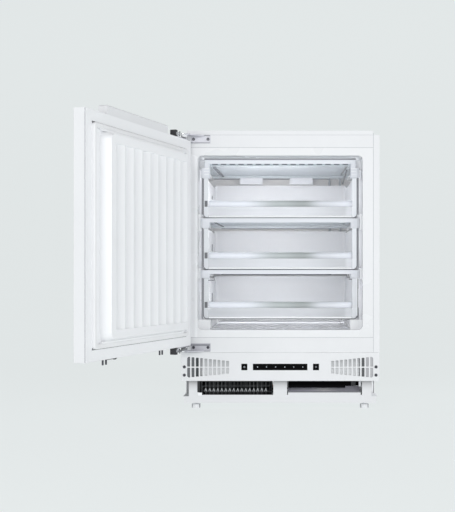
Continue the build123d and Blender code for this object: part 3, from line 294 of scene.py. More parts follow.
def trim_plastic(name, colour):
    """White moulding whose outermost ends stand in the shade of the mouth."""
    left = shade(colour, 0.92)
    right = shade(colour, 0.8)
    stops = ((0.0, left), (0.031, left), (0.034, colour), (0.966, colour), (0.969, right), (1.0, right))
    return graded(name, 0.35, "X", (-0.25, 0.25), stops, (1600.0, 2.0, 0.00004, 0.3))


def beam_coat(name, colour):
    """White coat of the base's beam, in the plinth's shade towards its top edge."""
    falls = ((0.0, 1.0), (0.3, 0.89), (0.5, 0.79), (0.7, 0.64), (0.8, 0.53), (0.9, 0.43), (1.0, 0.36))
    stops = [(place, shade(colour, factor)) for place, factor in falls]
    return graded(name, 0.45, "Z", (0.055, 0.085), stops, (900.0, 3.0, 0.00004, 0.4))


def louvre_finish(name):
    """Pale grey plastic, greyer towards the top where less light comes in."""
    stops = ((0.0, (0.76, 0.77, 0.78)), (0.5, (0.68, 0.69, 0.70)), (1.0, (0.42, 0.43, 0.44)))
    return graded(name, 0.6, "Z", (0.094, 0.157), stops, (900.0, 3.0, 0.00004, 0.4))


def shaded_wire_tone(name):
    """Wire with painted shade along its row, darkest just right of the row's middle."""
    stops = (
        (0.0, (0.16, 0.17, 0.175)), (0.35, (0.09, 0.095, 0.1)), (0.5, (0.02, 0.021, 0.023)),
        (0.62, (0.03, 0.031, 0.033)), (0.78, (0.13, 0.135, 0.14)), (1.0, (0.04, 0.042, 0.045)),
    )
    return graded(name, 0.5, "X", (-0.24, -0.03), stops, metallic=0.2)


def grip_finish(look):
    """Satin plastic that is pale at the ends, with a painted reflection that greys it towards the right of
    the middle.
    """
    pale = look.grip_pale
    dark = look.grip_reflection_grey
    stops = (
        (0.0, pale), (0.24, pale), (0.5, shade(dark, 1.25)),
        (0.66, dark), (0.8, shade(pale, 0.84)), (1.0, pale),
    )
    span = (-GROOVE_X * MM, GROOVE_X * MM)
    return graded("grip_styrene", 0.3, "X", span, stops, (500.0, 2.0, 0.00003, 0.3), easing="EASE")


def deep_black(name, colour=0.003, roughness=0.5):
    """Black that gives hardly any light back."""
    material, tree, shader = new_tree(name, roughness)
    shader.inputs["Specular IOR Level"].default_value = 0.03
    vector = object_coords(tree)
    mottled(tree, shader, vector, (colour, colour, colour * 1.1), 0.1, 40.0)
    bump(tree, shader, noise(tree, vector, 600.0, 2.0), 0.00003, 0.3)
    return material


def chilled_plate(name, colour, edge):
    """Coated evaporator plate: cool grey, with the faint swell of its channels and a bloom of frost."""
    material, tree, shader = new_tree(name, 0.42, 0.15)
    vector = object_coords(tree)
    frost = noise(tree, vector, 38.0, 5.0, 0.65)
    feed(shader, "Base Color", ramp(tree, frost, ((0.3, colour), (0.75, edge))))
    feed(shader, "Roughness", remap(tree, frost, 0.3, 0.7, 0.36, 0.55))
    waves = tree.nodes.new("ShaderNodeTexWave")
    waves.bands_direction = "Y"
    waves.inputs["Scale"].default_value = 9.0
    tree.links.new(vector, waves.inputs["Vector"])
    bump(tree, shader, waves.outputs["Fac"], 0.0005, 0.2)
    return material


def frosted_styrene(name, colour, alpha, roughness):
    """Frosted drawer plastic that shows a little of what is behind it, with a faint flow haze."""
    material, tree, shader = new_tree(name, roughness)
    haze = noise(tree, object_coords(tree), 12.0, 3.0)
    stops = ((0.3, shade(colour, 0.98)), (0.7, colour))
    feed(shader, "Base Color", ramp(tree, haze, stops))
    feed(shader, "Roughness", remap(tree, haze, 0.3, 0.7, roughness, roughness + 0.06))
    shader.inputs["Alpha"].default_value = alpha
    shader.inputs["IOR"].default_value = 1.49
    return material


def front_styrene(number, look):
    """Clear above the groove, frosted below it, and white at the posts of a drawer front, with painted shade
    towards its ends and a painted highlight on its right post.
    """
    tone = shade(look.styrene, DRAWERS[number].tone)
    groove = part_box(f"drawer_{number}_front")[0][2] + GROOVE_LOW * MM
    edge = (groove, groove + 0.0004)
    post_edge = (0.2185, 0.2188)
    material, tree, shader = new_tree(f"drawer_{number}_styrene", 0.12)
    vector = object_coords(tree)
    haze = noise(tree, vector, 10.0, 3.0)
    high = axis_value(tree, vector, "Z")
    wide = maths(tree, "ABSOLUTE", axis_value(tree, vector, "X"))
    post = remap(tree, wide, *post_edge, 0.0, look.post_cover)
    frost = remap(tree, high, *edge, look.frost_cover, look.clear_cover)
    feed(shader, "Alpha", maths(tree, "MAXIMUM", frost, post))
    feed(shader, "Roughness", remap(tree, high, *edge, 0.45, 0.1))
    across = along(tree, vector, "X", -GROOVE_X * MM, GROOVE_X * MM)
    wave = maths(tree, "MULTIPLY_ADD", haze, 0.06, across)
    # painted light and shade across the front: darker towards the ends, lighter on the right post
    tones = ((0.0, 0.96), (0.4, 1.0), (0.66, 1.0), (0.97, 0.85), (1.0, 1.08))
    stops = [(place, shade(tone, factor)) for place, factor in tones]
    feed(shader, "Base Color", ramp(tree, wave, stops, "EASE"))
    bump(tree, shader, noise(tree, vector, 700.0, 2.0), 0.00003, 0.25)
    return material


def satin_edge():
    """The bright moulded plastic of small edges, made once."""
    found = bpy.data.materials.get("white_moulded_edge")
    return found or moulded_plastic("white_moulded_edge", (0.93, 0.94, 0.96), 0.3)


def glowing(name, colour, strength):
    """A mark that gives a little light."""
    material, tree, shader = new_tree(name, 0.4)
    tint = ramp(tree, noise(tree, object_coords(tree), 400.0), ((0.3, shade(colour, 0.9)), (0.7, colour)))
    feed(shader, "Base Color", tint)
    feed(shader, "Emission Color", tint)
    shader.inputs["Emission Strength"].default_value = strength
    return material


# Shapes


def mesh_from(name, build):
    """A mesh from a function that fills a bmesh, with its faces turned outwards."""
    bm = bmesh.new()
    build(bm)
    bmesh.ops.remove_doubles(bm, verts=bm.verts, dist=1e-6)
    bmesh.ops.recalc_face_normals(bm, faces=bm.faces)
    mesh = bpy.data.meshes.new(name)
    bm.to_mesh(mesh)
    bm.free()
    return mesh


def about(middle, half):
    """Limits at equal distances from a middle."""
    return middle - half, middle + half


def mirrored(side, near, far):
    """Limits on one side of zero, in rising order."""
    return sorted((side * near, side * far))


def block(bm, x, y, z, edge=0.0, place=None):
    """A block between limits in millimetres, with its edges eased and a placing function."""
    verts = bmesh.ops.create_cube(bm, size=1.0)["verts"]
    spans = [(v[1] - v[0]) * MM for v in (x, y, z)]
    mids = [(v[0] + v[1]) / 2 * MM for v in (x, y, z)]
    for v in verts:
        v.co = Vector([v.co[k] * spans[k] + mids[k] for k in range(3)])
    if edge:
        edges = list({e for v in verts for e in v.link_edges})
        made = bmesh.ops.bevel(
            bm, geom=edges, offset=edge * MM, segments=2, profile=0.6, affect="EDGES", clamp_overlap=True
        )
        verts = list({v for f in made["faces"] for v in f.verts} | {v for v in verts if v.is_valid})
    if place:
        for v in verts:
            v.co = place(v.co)


def on_door(co):
    """Places a point given as u, v and height in metres."""
    return door_point(co.x / MM, co.y / MM, co.z / MM)


def door_block(bm, u, v, z, edge=0.0):
    """A block on the door, between limits in millimetres."""
    block(bm, u, v, z, edge, on_door)


def quad(bm, *corners):
    """A face between four corners in millimetres."""
    bm.faces.new([bm.verts.new((x * MM, y * MM, z * MM)) for x, y, z in corners])


def prism(bm, outline, y):
    """A solid between limits in Y, from its outline in X and Z, in millimetres."""
    front, back = ([bm.verts.new((x * MM, place * MM, z * MM)) for x, z in outline] for place in y)
    bm.faces.new(front)
    bm.faces.new(back[::-1])
    for k in range(len(outline)):
        after = (k + 1) % len(outline)
        bm.faces.new((front[after], front[k], back[k], back[after]))


def turned(bm, profile, centre, axis, steps):
    """A solid of revolution: profile is (distance along the axis, radius) in millimetres."""
    axis = Vector(axis).normalized()
    side = axis.orthogonal().normalized()
    other = axis.cross(side)
    rings = []
    for along_axis, radius in profile:
        base = Vector(centre) + axis * (along_axis * MM)
        if radius == 0:
            rings.append([bm.verts.new(base)])
            continue
        turns = [2 * math.pi * k / steps for k in range(steps)]
        ways = [side * math.cos(turn) + other * math.sin(turn) for turn in turns]
        rings.append([bm.verts.new(base + way * radius * MM) for way in ways])
    for low, high in zip(rings, rings[1:]):
        for k in range(steps):
            places = ((low, k), (low, k + 1), (high, k + 1), (high, k))
            corners = [ring[place % len(ring)] for ring, place in places]
            unique = list(dict.fromkeys(corners))
            if len(unique) > 2:
                bm.faces.new(unique)


def disc(bm, centre, radius, steps):
    """A thin plate with equal sides or a round edge, facing the front."""
    turned(bm, [(-0.1, 0), (-0.1, radius), (0.1, radius), (0.1, 0)], centre, (0, 1, 0), steps)


def piece(name, build, material, body="cabinet", smooth=False):
    """Builds a shape and links it as a finished piece that rides on a body."""
    mesh = mesh_from(name, build)
    mesh.materials.append(material)
    if smooth:
        mesh.polygons.foreach_set("use_smooth", [True] * len(mesh.polygons))
        mesh.set_sharp_from_angle(angle=math.radians(35))
    obj = bpy.data.objects.new(name, mesh)
    bpy.context.collection.objects.link(obj)
    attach(obj, body)


def slab(name, x, y, z, material, body="cabinet", edge=0.0):
    """A piece that is one block."""
    piece(name, lambda bm: block(bm, x, y, z, edge), material, body)


# Repeating parts, made by one Geometry Nodes tree


def row_tree():
    """Repeats its own shape in a row from a start place, a step and a count."""
    found = bpy.data.node_groups.get("repeat_in_a_row")
    if found:
        return found
    tree = bpy.data.node_groups.new("repeat_in_a_row", "GeometryNodeTree")
    inputs = {"Shape": "Geometry", "Count": "Int", "Start": "Vector", "Step": "Vector", "Finish": "Material"}
    for name, kind in inputs.items():
        tree.interface.new_socket(name, in_out="INPUT", socket_type=f"NodeSocket{kind}")
    tree.interface.new_socket("Shape", in_out="OUTPUT", socket_type="NodeSocketGeometry")
    given = tree.nodes.new("NodeGroupInput")
    line = tree.nodes.new("GeometryNodeMeshLine")
    line.mode = "OFFSET"
    place = tree.nodes.new("GeometryNodeInstanceOnPoints")
    real = tree.nodes.new("GeometryNodeRealizeInstances")
    finish = tree.nodes.new("GeometryNodeSetMaterial")
    out = tree.nodes.new("NodeGroupOutput")
    link = tree.links.new
    link(given.outputs["Count"], line.inputs["Count"])
    link(given.outputs["Start"], line.inputs["Start Location"])
    link(given.outputs["Step"], line.inputs["Offset"])
    link(line.outputs["Mesh"], place.inputs["Points"])
    link(given.outputs["Shape"], place.inputs["Instance"])
    link(place.outputs["Instances"], real.inputs["Geometry"])
    link(real.outputs["Geometry"], finish.inputs["Geometry"])
    link(given.outputs["Finish"], finish.inputs["Material"])
    link(finish.outputs["Geometry"], out.inputs["Shape"])
    return tree


def row_piece(name, build, count, start, step, material, body="cabinet"):
    """A piece that is one shape repeated in a row; start and step are in metres."""
    shape = mesh_from(name, build)
    shape.materials.append(material)
    source = bpy.data.objects.new(name + "_source", shape)
    bpy.context.collection.objects.link(source)
    modifier = source.modifiers.new("row", "NODES")
    modifier.node_group = row_tree()
    values = {"Count": count, "Start": start, "Step": step, "Finish": material}
    for item in modifier.node_group.interface.items_tree:
        if item.in_out == "INPUT" and item.name in values:
            modifier[item.identifier] = values[item.name]
    graph = bpy.context.evaluated_depsgraph_get()
    mesh = bpy.data.meshes.new_from_object(source.evaluated_get(graph), depsgraph=graph)
    bpy.data.objects.remove(source)
    mesh.name = name
    obj = bpy.data.objects.new(name, mesh)
    bpy.context.collection.objects.link(obj)
    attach(obj, body)


# Stage


# warm tint of the lamps in the three bays
BAY_TINT = (1.0, 0.95, 0.91)
# small lights inside the cabinet: name, place, aim, size, power
INNER_LIGHTS = (
    ("bay_fill_1", (-0.04, 0.07, 0.700), (-0.04, 0.35, 0.52), (0.26, 0.02), 0.54),
    ("bay_fill_2", (-0.04, 0.07, 0.552), (-0.04, 1.0, 0.45), (0.26, 0.02), 0.45),
    ("bay_fill_3", (-0.04, 0.07, 0.345), (-0.04, 1.0, 0.26), (0.26, 0.02), 0.435),
    ("roof_fill", (0.0, 0.07, 0.7535), (0.0, 0.07, 1.0), (0.47, 0.05), 0.10),
    ("left_gap_fill", (-0.2285, 0.115, 0.505), (-1.0, 0.115, 0.505), (0.15, 0.53), 0.165),
    ("right_gap_fill", (0.2285, 0.115, 0.505), (1.0, 0.115, 0.505), (0.15, 0.53), 0.18),
    ("recess_fill", (0.0, 0.2, 0.2655), (0.0, 0.2, 0.0), (0.42, 0.3), 0.10),
    ("recess_back_fill", (0.0, 0.33, 0.2525), (0.0, 1.0, 0.2525), (0.42, 0.018), 0.11),
)


def studio_light(name, place, aim, size, power):
    """A rectangular lamp at a place, turned towards its aim."""
    lamp = bpy.data.lights.new(name, "AREA")
    lamp.shape = "RECTANGLE"
    lamp.size, lamp.size_y = size
    lamp.energy = power
    obj = bpy.data.objects.new(name, lamp)
    obj.location = place
    obj.rotation_euler = (Vector(aim) - Vector(place)).to_track_quat("-Z", "Y").to_euler()
    bpy.context.collection.objects.link(obj)
    return obj


def sweep_mesh():
    """A floor that bends up into a rear wall, in metres."""
    half, back, front, radius, tall, steps = 9.0, 4.5, -9.0, 2.2, 8.0, 12
    profile = [(front, 0.0), (back - radius, 0.0)]
    for k in range(1, steps + 1):
        turn = math.pi / 2 * k / steps
        profile.append((back - radius + radius * math.sin(turn), radius - radius * math.cos(turn)))
    profile.append((back, tall))
    verts = [(x, y, z) for y, z in profile for x in (-half, half)]
    faces = [(2 * k, 2 * k + 1, 2 * k + 3, 2 * k + 2) for k in range(len(profile) - 1)]
    mesh = bpy.data.meshes.new("studio_sweep")
    mesh.from_pydata(verts, [], faces)
    mesh.polygons.foreach_set("use_smooth", [True] * len(mesh.polygons))
    return mesh


class FREEZER_OT_stage(bpy.types.Operator):
    """Build the pale floor, the soft light and the camera"""

    bl_idname = "freezer.stage"
    bl_label = "Stage"

    def execute(self, context):
        look = context.scene.freezer_look
        mesh = sweep_mesh()
        sweep = bpy.data.objects.new("studio_sweep", mesh)
        context.collection.objects.link(sweep)
        material, tree, shader = new_tree("pale_floor", 0.95)
        mottled(tree, shader, object_coords(tree), shade(look.floor_colour, 0.25), 0.004, 1.5)
        shader.inputs["Specular IOR Level"].default_value = 0.0
        shader.inputs["Emission Color"].default_value = (*look.floor_colour, 1.0)
        shader.inputs["Emission Strength"].default_value = look.floor_glow
        mesh.materials.append(material)

        world = bpy.data.worlds.new("studio_air")
        world.use_nodes = True
        air = world.node_tree.nodes["Background"]
        air.inputs["Color"].default_value = (0.96, 0.975, 1.0, 1.0)
        air.inputs["Strength"].default_value = look.air_strength
        context.scene.world = world
        aim = (0.0, 0.1, 0.45)
        studio_light("front_box", (0.1, -3.7, 1.1), aim, (1.8, 1.8), look.front_power)
        studio_light("right_box", (3.0, -2.3, 1.0), (-0.3, -0.2, 0.5), (2.2, 2.2), look.right_power)
        studio_light("left_box", (-1.6, -3.3, 1.2), aim, (2.0, 2.0), look.left_power)
        for name, place, target, size, power in INNER_LIGHTS:
            lamp = studio_light(name, place, target, size, power * look.inner_power)
            if name.startswith("bay_fill"):
                lamp.data.color = BAY_TINT
            lamp.visible_camera = False
            lamp.visible_glossy = False
            lamp.visible_transmission = False
        context.scene.view_settings.view_transform = "Standard"

        camera = bpy.data.cameras.new("photo_camera")
        camera.sensor_width = 36.0
        camera.lens = 64.69
        camera.shift_x = -0.1045
        camera.shift_y = 0.0371
        camera.clip_end = 60.0
        view = bpy.data.objects.new("photo_camera", camera)
        view.location = (0.0025, -2.76, 0.402)
        view.rotation_euler = (math.pi / 2, 0.0, 0.0)
        context.collection.objects.link(view)
        context.scene.camera = view
        return {"FINISHED"}


# The frame's own parts


def dress(node, material):
    """Gives a part of the frame its finish."""
    obj = frame["nodes"][node]
    obj.data.materials.clear()
    obj.data.materials.append(material)


class FREEZER_OT_finishes(bpy.types.Operator):
    """Give every part of the frame its own finish"""

    bl_idname = "freezer.finishes"
    bl_label = "Finishes"

    def execute(self, context):
        look = context.scene.freezer_look
        white = look.cabinet_white
        # painted shade: the trims' and clips' white is a darker, bluer copy of the liner's white, for the
        # shade inside the mouth
        trim_white = (0.755, 0.775, 0.825)
        # painted shade: the plinth's plastic is the cabinet white made a little darker
        front_plastic = moulded_plastic("white_plinth_plastic", shade(white, 0.98), 0.4)
        foam = moulded_plastic("insulating_foam", (0.83, 0.76, 0.55), 0.9, 300.0, 0.0008)
        chrome = polished_metal("plated_hinge_steel", (0.78, 0.79, 0.81), 0.14)
        screw = polished_metal("dark_screw_steel", (0.10, 0.10, 0.115), 0.3)
        grey = moulded_plastic("mid_grey_plastic", (0.16, 0.165, 0.18), 0.5)
        pale = moulded_plastic("pale_grey_plastic", (0.58, 0.59, 0.61), 0.6)
        coil = powder_coat("black_coil_coat", (0.025, 0.027, 0.03), 0.45)
        glass = deep_black("black_display_gloss", 0.004, 0.15)
        rubber = moulded_plastic("black_rubber", (0.02, 0.02, 0.02), 0.8, 500.0, 0.0001)
        plate = chilled_plate("evaporator_coat", (0.50, 0.56, 0.61), (0.60, 0.66, 0.70))
        tub = frosted_styrene("frosted_tub_styrene", look.styrene, look.tub_cover, 0.3)
        chosen = {
            "outer_casing": powder_coat("white_baked_coat", white),
            "rear_panel": brushed_metal("galvanised_sheet", (0.62, 0.64, 0.66), 0.42, (1, 1, 1)),
            "top_cross_bar": moulded_plastic("white_bar_plastic", white, 0.4),
            # painted shade: the lower bar is the upper bar's plastic made a little darker
            "bottom_cross_bar": moulded_plastic("white_low_bar_plastic", shade(white, 0.97), 0.4),
            "inner_liner": cabinet_liner("white_liner_sheet", look.liner_white),
            "shelf_trims": trim_plastic("shelf_trim_plastic", trim_white),
            # painted shade: the risers take a darker copy of the plates' coat, deep in the bay
            "evaporator_risers": chilled_plate("riser_coat_in_shade", (0.27, 0.31, 0.35), (0.36, 0.40, 0.44)),
            "evaporator_clips": moulded_plastic("white_trim_plastic", trim_white, 0.35),
            # painted shade: the base pan and beam take the cabinet white made darker, low under the cabinet
            "base_pan": powder_coat("white_base_coat", shade(white, 0.94), 0.45),
            "base_front_beam": beam_coat("white_beam_coat", shade(white, 0.94)),
            "compressor_shell": powder_coat("black_baked_coat", (0.012, 0.012, 0.014), 0.4),
            "filter_drier": brushed_metal("copper_pipe", (0.75, 0.40, 0.26)),
            "refrigerant_tubes": powder_coat("black_pipe_lacquer", (0.02, 0.021, 0.023), 0.4),
            "air_guide": guide_sheet("guide_sheet_highlight"),
            "hinge_plate_upper": satin_zinc("satin_hinge_plate", (0.66, 0.66, 0.71)),
            # painted shade: the lower hinge plate is a darker copy of the upper plate's zinc
            "hinge_plate_lower": satin_zinc("satin_hinge_plate_shaded", (0.54, 0.54, 0.585)),
            # painted light: the door's coat and liner are lighter copies of the cabinet's white and the
            # liner's white
            "door_panel": powder_coat("white_door_coat", shade(white, 1.02), 0.35),
            "door_liner": drawn_liner("white_door_liner", shade(look.liner_white, 1.09), 0.34),
            "door_gasket": moulded_plastic("soft_gasket_vinyl", (0.845, 0.85, 0.865), 0.6, 600.0),
        }
        shared = (
            (foam, ("insulation_foam", "door_foam")),
            (pale, ("rear_spacers", "vent_filters", "control_box")),
            (coil, ("condenser_coil", "condenser_wires")),
            (rubber, ("compressor_grommets", "mains_inlet")),
            (grey, ("fan_shroud", "compressor_relay", "drip_tray", "fan_rotor")),
            (glass, ("display_window", "power_button", "function_button")),
            (screw, ("plinth_screws", "hinge_screws", "fixing_studs")),
            (chrome, ("hinge_arm_upper", "hinge_arm_lower", "hinge_link_upper", "hinge_link_lower")),
            (front_plastic, ("plinth_panel", "fixing_rail")),
            (front_plastic, ("foot_front_left", "foot_front_right", "foot_rear_left", "foot_rear_right")),
        )
        for material, nodes in shared:
            chosen.update(dict.fromkeys(nodes, material))
        for number in DRAWERS:
            chosen[f"evaporator_shelf_{number}"] = plate
            chosen[f"drawer_{number}_tub"] = tub
            chosen[f"drawer_{number}_front"] = front_styrene(number, look)
            chosen[f"drawer_{number}_stop"] = grey
        missing = set(frame["nodes"]) - set(chosen)
        if missing:
            raise RuntimeError(f"no finish for {sorted(missing)}")
        for node, material in chosen.items():
            dress(node, material)
        return {"FINISHED"}


# Drawer fronts


# how far the tub's rear rim stands above the front's, how far the front's right edge stands out and
# the heights of the slot in the tub's left wall, all in millimetres, and the tone of the front, a painted
# shade that darkens the lower drawers
Drawer = namedtuple("Drawer", "rear_raise right_shift slot tone")
DRAWERS = {
    1: Drawer(13.0, 0.0, (77.0, 88.0), 1.0),
    2: Drawer(8.0, 0.0, (64.0, 86.0), 0.985),
    3: Drawer(7.5, 2.7, (47.0, 76.0), 0.9),
}
# the finger groove of a front, above the front's bottom
GROOVE_LOW = 32.3
GROOVE_HIGH = 50.3
GROOVE_X = 217.5
GROOVE_FACE_Y = 33.7
GROOVE_SAG = 10.5
# the post at each end of a front
POST_X = 231.9
POST_Y = (34.4, 36.6)


def groove_lining(bm, bottom):
    """A thin curved sheet that follows the groove of a drawer front."""
    steps = 10
    skin = 0.4
    middle = bottom + (GROOVE_LOW + GROOVE_HIGH) / 2
    half = (GROOVE_HIGH - GROOVE_LOW) / 2
    turns = [math.pi * k / steps for k in range(steps + 1)]
    rows = [(GROOVE_FACE_Y + GROOVE_SAG * math.sin(turn), middle - half * math.cos(turn)) for turn in turns]
    left, right = -GROOVE_X, GROOVE_X
    for (y0, z0), (y1, z1) in zip(rows, rows[1:]):
        for y in (0.0, -skin):
            quad(bm, (left, y0 + y, z0), (right, y0 + y, z0), (right, y1 + y, z1), (left, y1 + y, z1))
        for x in (left, right):
            quad(bm, (x, y0, z0), (x, y1, z1), (x, y1 - skin, z1), (x, y0 - skin, z0))
    for y, z in (rows[0], rows[-1]):
        quad(bm, (left, y, z), (right, y, z), (right, y - skin, z), (left, y - skin, z))


def front_edge_shadows(bm, bottom, rim, right_shift):
    """Painted shadow along the flanks of a drawer front: dark strips, with their turn at the bottom corners.
    """
    inner, outer, corner = 9.2, 11.2, 10.0
    steps = 5
    for side, shift in ((-1, 0.0), (1, right_shift)):
        x = [place + shift for place in mirrored(side, POST_X, POST_X + 2.1)]
        block(bm, x, POST_Y, (bottom + corner, rim - 1.0), edge=0.3)
        centre = side * (POST_X - inner) + shift
        for k in range(steps):
            start, end = (math.pi / 2 * turn / steps for turn in (k, k + 1))
            outline = [
                (centre + side * radius * math.cos(turn), bottom + corner - radius * math.sin(turn))
                for radius, turn in ((inner, start), (inner, end), (outer, end), (outer, start))
            ]
            prism(bm, outline, POST_Y)


def rim_shadows(bm):
    """Dark strips of painted shadow that show under the rim of the lowest drawer's front."""
    y = (37.4, 39.4)
    block(bm, (-221.0, -199.0), y, (384.6, 387.2), edge=0.3)
    block(bm, (-201.4, -198.8), y, (387.2, 391.6), edge=0.3)
    block(bm, (208.5, 225.0), y, (387.0, 389.6), edge=0.3)


class FREEZER_OT_drawer_fronts(bpy.types.Operator):
    """Line the drawer fronts' finger grooves and add their lips, the painted shadows along their edges, and
    their feet
    """

    bl_idname = "freezer.drawer_fronts"
    bl_label = "Drawer fronts"

    def execute(self, context):
        look = context.scene.freezer_look
        painted_shadow_grey = moulded_plastic("front_edge_shadow_grey", (0.16, 0.165, 0.18), 0.6)
        foot_finish = moulded_plastic("front_foot_grey", (0.10, 0.105, 0.12), 0.7)
        for number, drawer in DRAWERS.items():
            body = f"drawer_{number}"
            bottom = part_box(f"{body}_front")[0][2] / MM
            floor, tub_top = (corner[2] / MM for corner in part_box(f"{body}_tub"))
            rim = tub_top - drawer.rear_raise
            lining = grip_finish(look)
            piece(f"grip_lining_{number}", lambda bm: groove_lining(bm, bottom), lining, body, smooth=True)
            z = (bottom + 0.3, bottom + 4.6)
            slab(f"front_lip_{number}", (-217, 217), (33.2, 34.2), z, satin_edge(), body, edge=0.35)
            shift = drawer.right_shift
            piece(f"front_edge_shadows_{number}", lambda bm: front_edge_shadows(bm, bottom, rim, shift), painted_shadow_grey, body)
            z = (floor + 0.4, floor + 2.6)
            slab(f"front_foot_{number}", (-224, 224), (36.2, 37.4), z, foot_finish, body, edge=0.2)
            # the tub's tick paints the shade seen through the slot in its left wall
            z = [floor + end for end in drawer.slot]
            slab(f"tub_tick_{number}", (-223.9, -223.0), (250.0, 280.0), z, painted_shadow_grey, body, edge=0.2)
        # painted shadow under the lowest drawer's rim, in the feet's dark grey
        piece("rim_shadows", rim_shadows, foot_finish, "drawer_3")
        low, high = (corner[2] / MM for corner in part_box("drawer_3_front"))
        x = (POST_X - 0.1, POST_X - 0.1 + DRAWERS[3].right_shift)
        slab("post_fill", x, (34.2, 36.6), (low + 9.0, high - 1.0), satin_edge(), "drawer_3", edge=0.2)
        return {"FINISHED"}


# Cabinet front


class FREEZER_OT_front_seams(bpy.types.Operator):
    """Draw the seams between bars, strips and liner on the cabinet's front"""

    bl_idname = "freezer.front_seams"
    bl_label = "Front seams"

    def execute(self, context):
        strip = 278.5
        y = (-0.12, 0.4)
        case_low, case_high = (corner[2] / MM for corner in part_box("outer_casing"))
        top_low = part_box("top_cross_bar")[0][2] / MM
        low_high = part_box("bottom_cross_bar")[1][2] / MM

        def lines(bm):
            for z, half in ((top_low, 0.45), (low_high, 0.45), (case_high, 0.3)):
                block(bm, (-strip, strip), y, about(z, half))
            for x in (-strip, strip + 1.2):
                block(bm, about(x, 0.5), y, (case_low + 1, case_high + 6))

        seam = moulded_plastic("seam_shadow", (0.42, 0.43, 0.46), 0.8)
        piece("front_seams", lines, seam)
        return {"FINISHED"}


# heights of the bays beside which a thin line of painted shadow shows, and of the gaps between the trims'
# caps
LEFT_BAYS = ((586, 700), (424, 545), (264, 398))
RIGHT_BAYS = ((586, 700), (424, 545), (264, 302))
CAP_GAPS = ((539, 587), (391, 423))


def plate_gap_shadows(bm):
    """Painted shadow: dark strips in the gaps at the left of the shelf plates, at the right of the top one
    and under their rear edges.
    """
    plates = [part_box(f"evaporator_shelf_{number}") for number in DRAWERS]
    for plate, half in zip(plates, (3.6, 2.2, 2.2)):
        roof = plate[1][2] / MM - 8.0
        block(
            bm, (-half, half), (130.0, 391.0), (roof, roof + 3.0),
            place=lambda co: Vector((co.x - 0.2125 + 0.045 * co.y, co.y, co.z)),
        )
    block(
        bm, (-2.2, 2.2), (137.0, 385.0), (-1.6, 1.6),
        place=lambda co: Vector((co.x + 0.2071 + 0.017 * co.y, co.y, co.z + 0.7424 - 0.0755 * co.y)),
    )
    unders = [low[2] / MM for low, _ in plates]
    backs = [(high[1] / MM + 0.2, high[1] / MM + 1.4) for _, high in plates]
    for under, back in zip(unders[1:], backs[1:]):
        block(bm, (-202, 175), back, (under - 2.6, under - 0.2), edge=0.3)
    for x in ((-228, -138), (-60, 33), (111, 166)):
        block(bm, x, backs[0], (unders[0] - 3.4, unders[0] - 0.4), edge=0.3)


def gap_shadow_lines(bm):
    """Thin grey lines of painted shadow beside the bays, in the gaps between the drawers and the liner."""
    for side, bays in ((-1, LEFT_BAYS), (1, RIGHT_BAYS)):
        for bay in bays:
            block(bm, mirrored(side, 234.8, 239.4), (43.0, 44.0), bay, edge=0.2)


def cap_fills(bm):
    """White strips that close the liner's wall beyond the ends of the lower trims' caps."""
    for _, side in SIDES:
        for z in CAP_GAPS:
            block(bm, mirrored(side, 241.2, 247.8), (36.0, 58.0), z, edge=1.0)


class FREEZER_OT_shelf_details(bpy.types.Operator):
    """Add the slots and shadows of the shelves and trims, and the ribs of the trims' caps"""

    bl_idname = "freezer.shelf_details"
    bl_label = "Shelf details"

    def execute(self, context):
        shadow = moulded_plastic("shelf_slot_shadow", (0.10, 0.115, 0.135), 0.8)
        # painted shadow for the gaps beside the drawers
        line_grey = moulded_plastic("gap_shadow_grey", (0.40, 0.405, 0.43), 0.8)
        dark_grey = moulded_plastic("trim_shadow_grey", (0.26, 0.265, 0.29), 0.8)
        soft_grey = moulded_plastic("trim_shade_grey", (0.56, 0.57, 0.59), 0.8)
        bright = satin_edge()

        def slot(bm):
            block(bm, (-8.2, 8.2), (31.2, 33.6), (736.6, 738.9), edge=0.3)

        row_piece("drip_slots", slot, 16, (-0.198, 0, 0), (0.0264, 0, 0), shadow)
        piece("plate_gap_shadows", plate_gap_shadows, shadow)
        slab("trim_shadow", (-230, 230), (30.7, 34.0), (751.2, 754.4), dark_grey, edge=0.2)
        slab("trim_shade", (-230, 230), (31.3, 34.0), (754.6, 757.4), soft_grey, edge=0.2)
        piece("gap_shadow_lines", gap_shadow_lines, line_grey)
        piece("cap_fills", cap_fills, bright)
        for name, side in SIDES:
            x = mirrored(side, 231.0, 247.4)
            slab(f"mouth_corner_{name}", x, (56.0, 59.5), (727.0, 752.6), bright, edge=0.4)
            x = mirrored(side, 214.6, 230.6)
            row_piece(
                f"cap_ribs_{name}", lambda bm: block(bm, x, (30.2, 31.4), (-0.9, 0.9), edge=0.3),
                3, (0, 0, 0.7245), (0, 0, -0.0085), bright,
            )
        return {"FINISHED"}


# tones of painted shade in the three wells at each end, from the outermost inwards
WELL_SHADES = {
    "left": {"outer": (0.17, 0.175, 0.19), "middle": (0.14, 0.15, 0.16), "inner": (0.045, 0.055, 0.06)},
    "right": {"outer": (0.50, 0.50, 0.52), "middle": (0.46, 0.46, 0.48), "inner": (0.12, 0.125, 0.13)},
}


def louvre(bm):
    """One sloping blade."""
    tilt = Matrix.Rotation(math.radians(38), 3, "X")
    block(bm, (-42.5, 42.5), (-1.9, 1.9), (-0.45, 0.45), edge=0.2, place=lambda co: tilt @ co)


def vent_corners(bm, side):
    """Fillets in the two outer corners of a vent's outermost opening."""
    outer = side * 279.0
    radius = 6.0
    steps = 6
    turns = [math.pi / 2 * k / steps for k in range(steps + 1)]
    for end, z in ((1, 156.4), (-1, 94.4)):
        inwards = [side * radius * (1 - math.cos(turn)) for turn in turns]
        drops = [end * radius * (1 - math.sin(turn)) for turn in turns]
        arc = [(outer - inward, z - drop) for inward, drop in zip(inwards, drops)]
        prism(bm, [(outer, z), *arc], (0.2, 1.6))


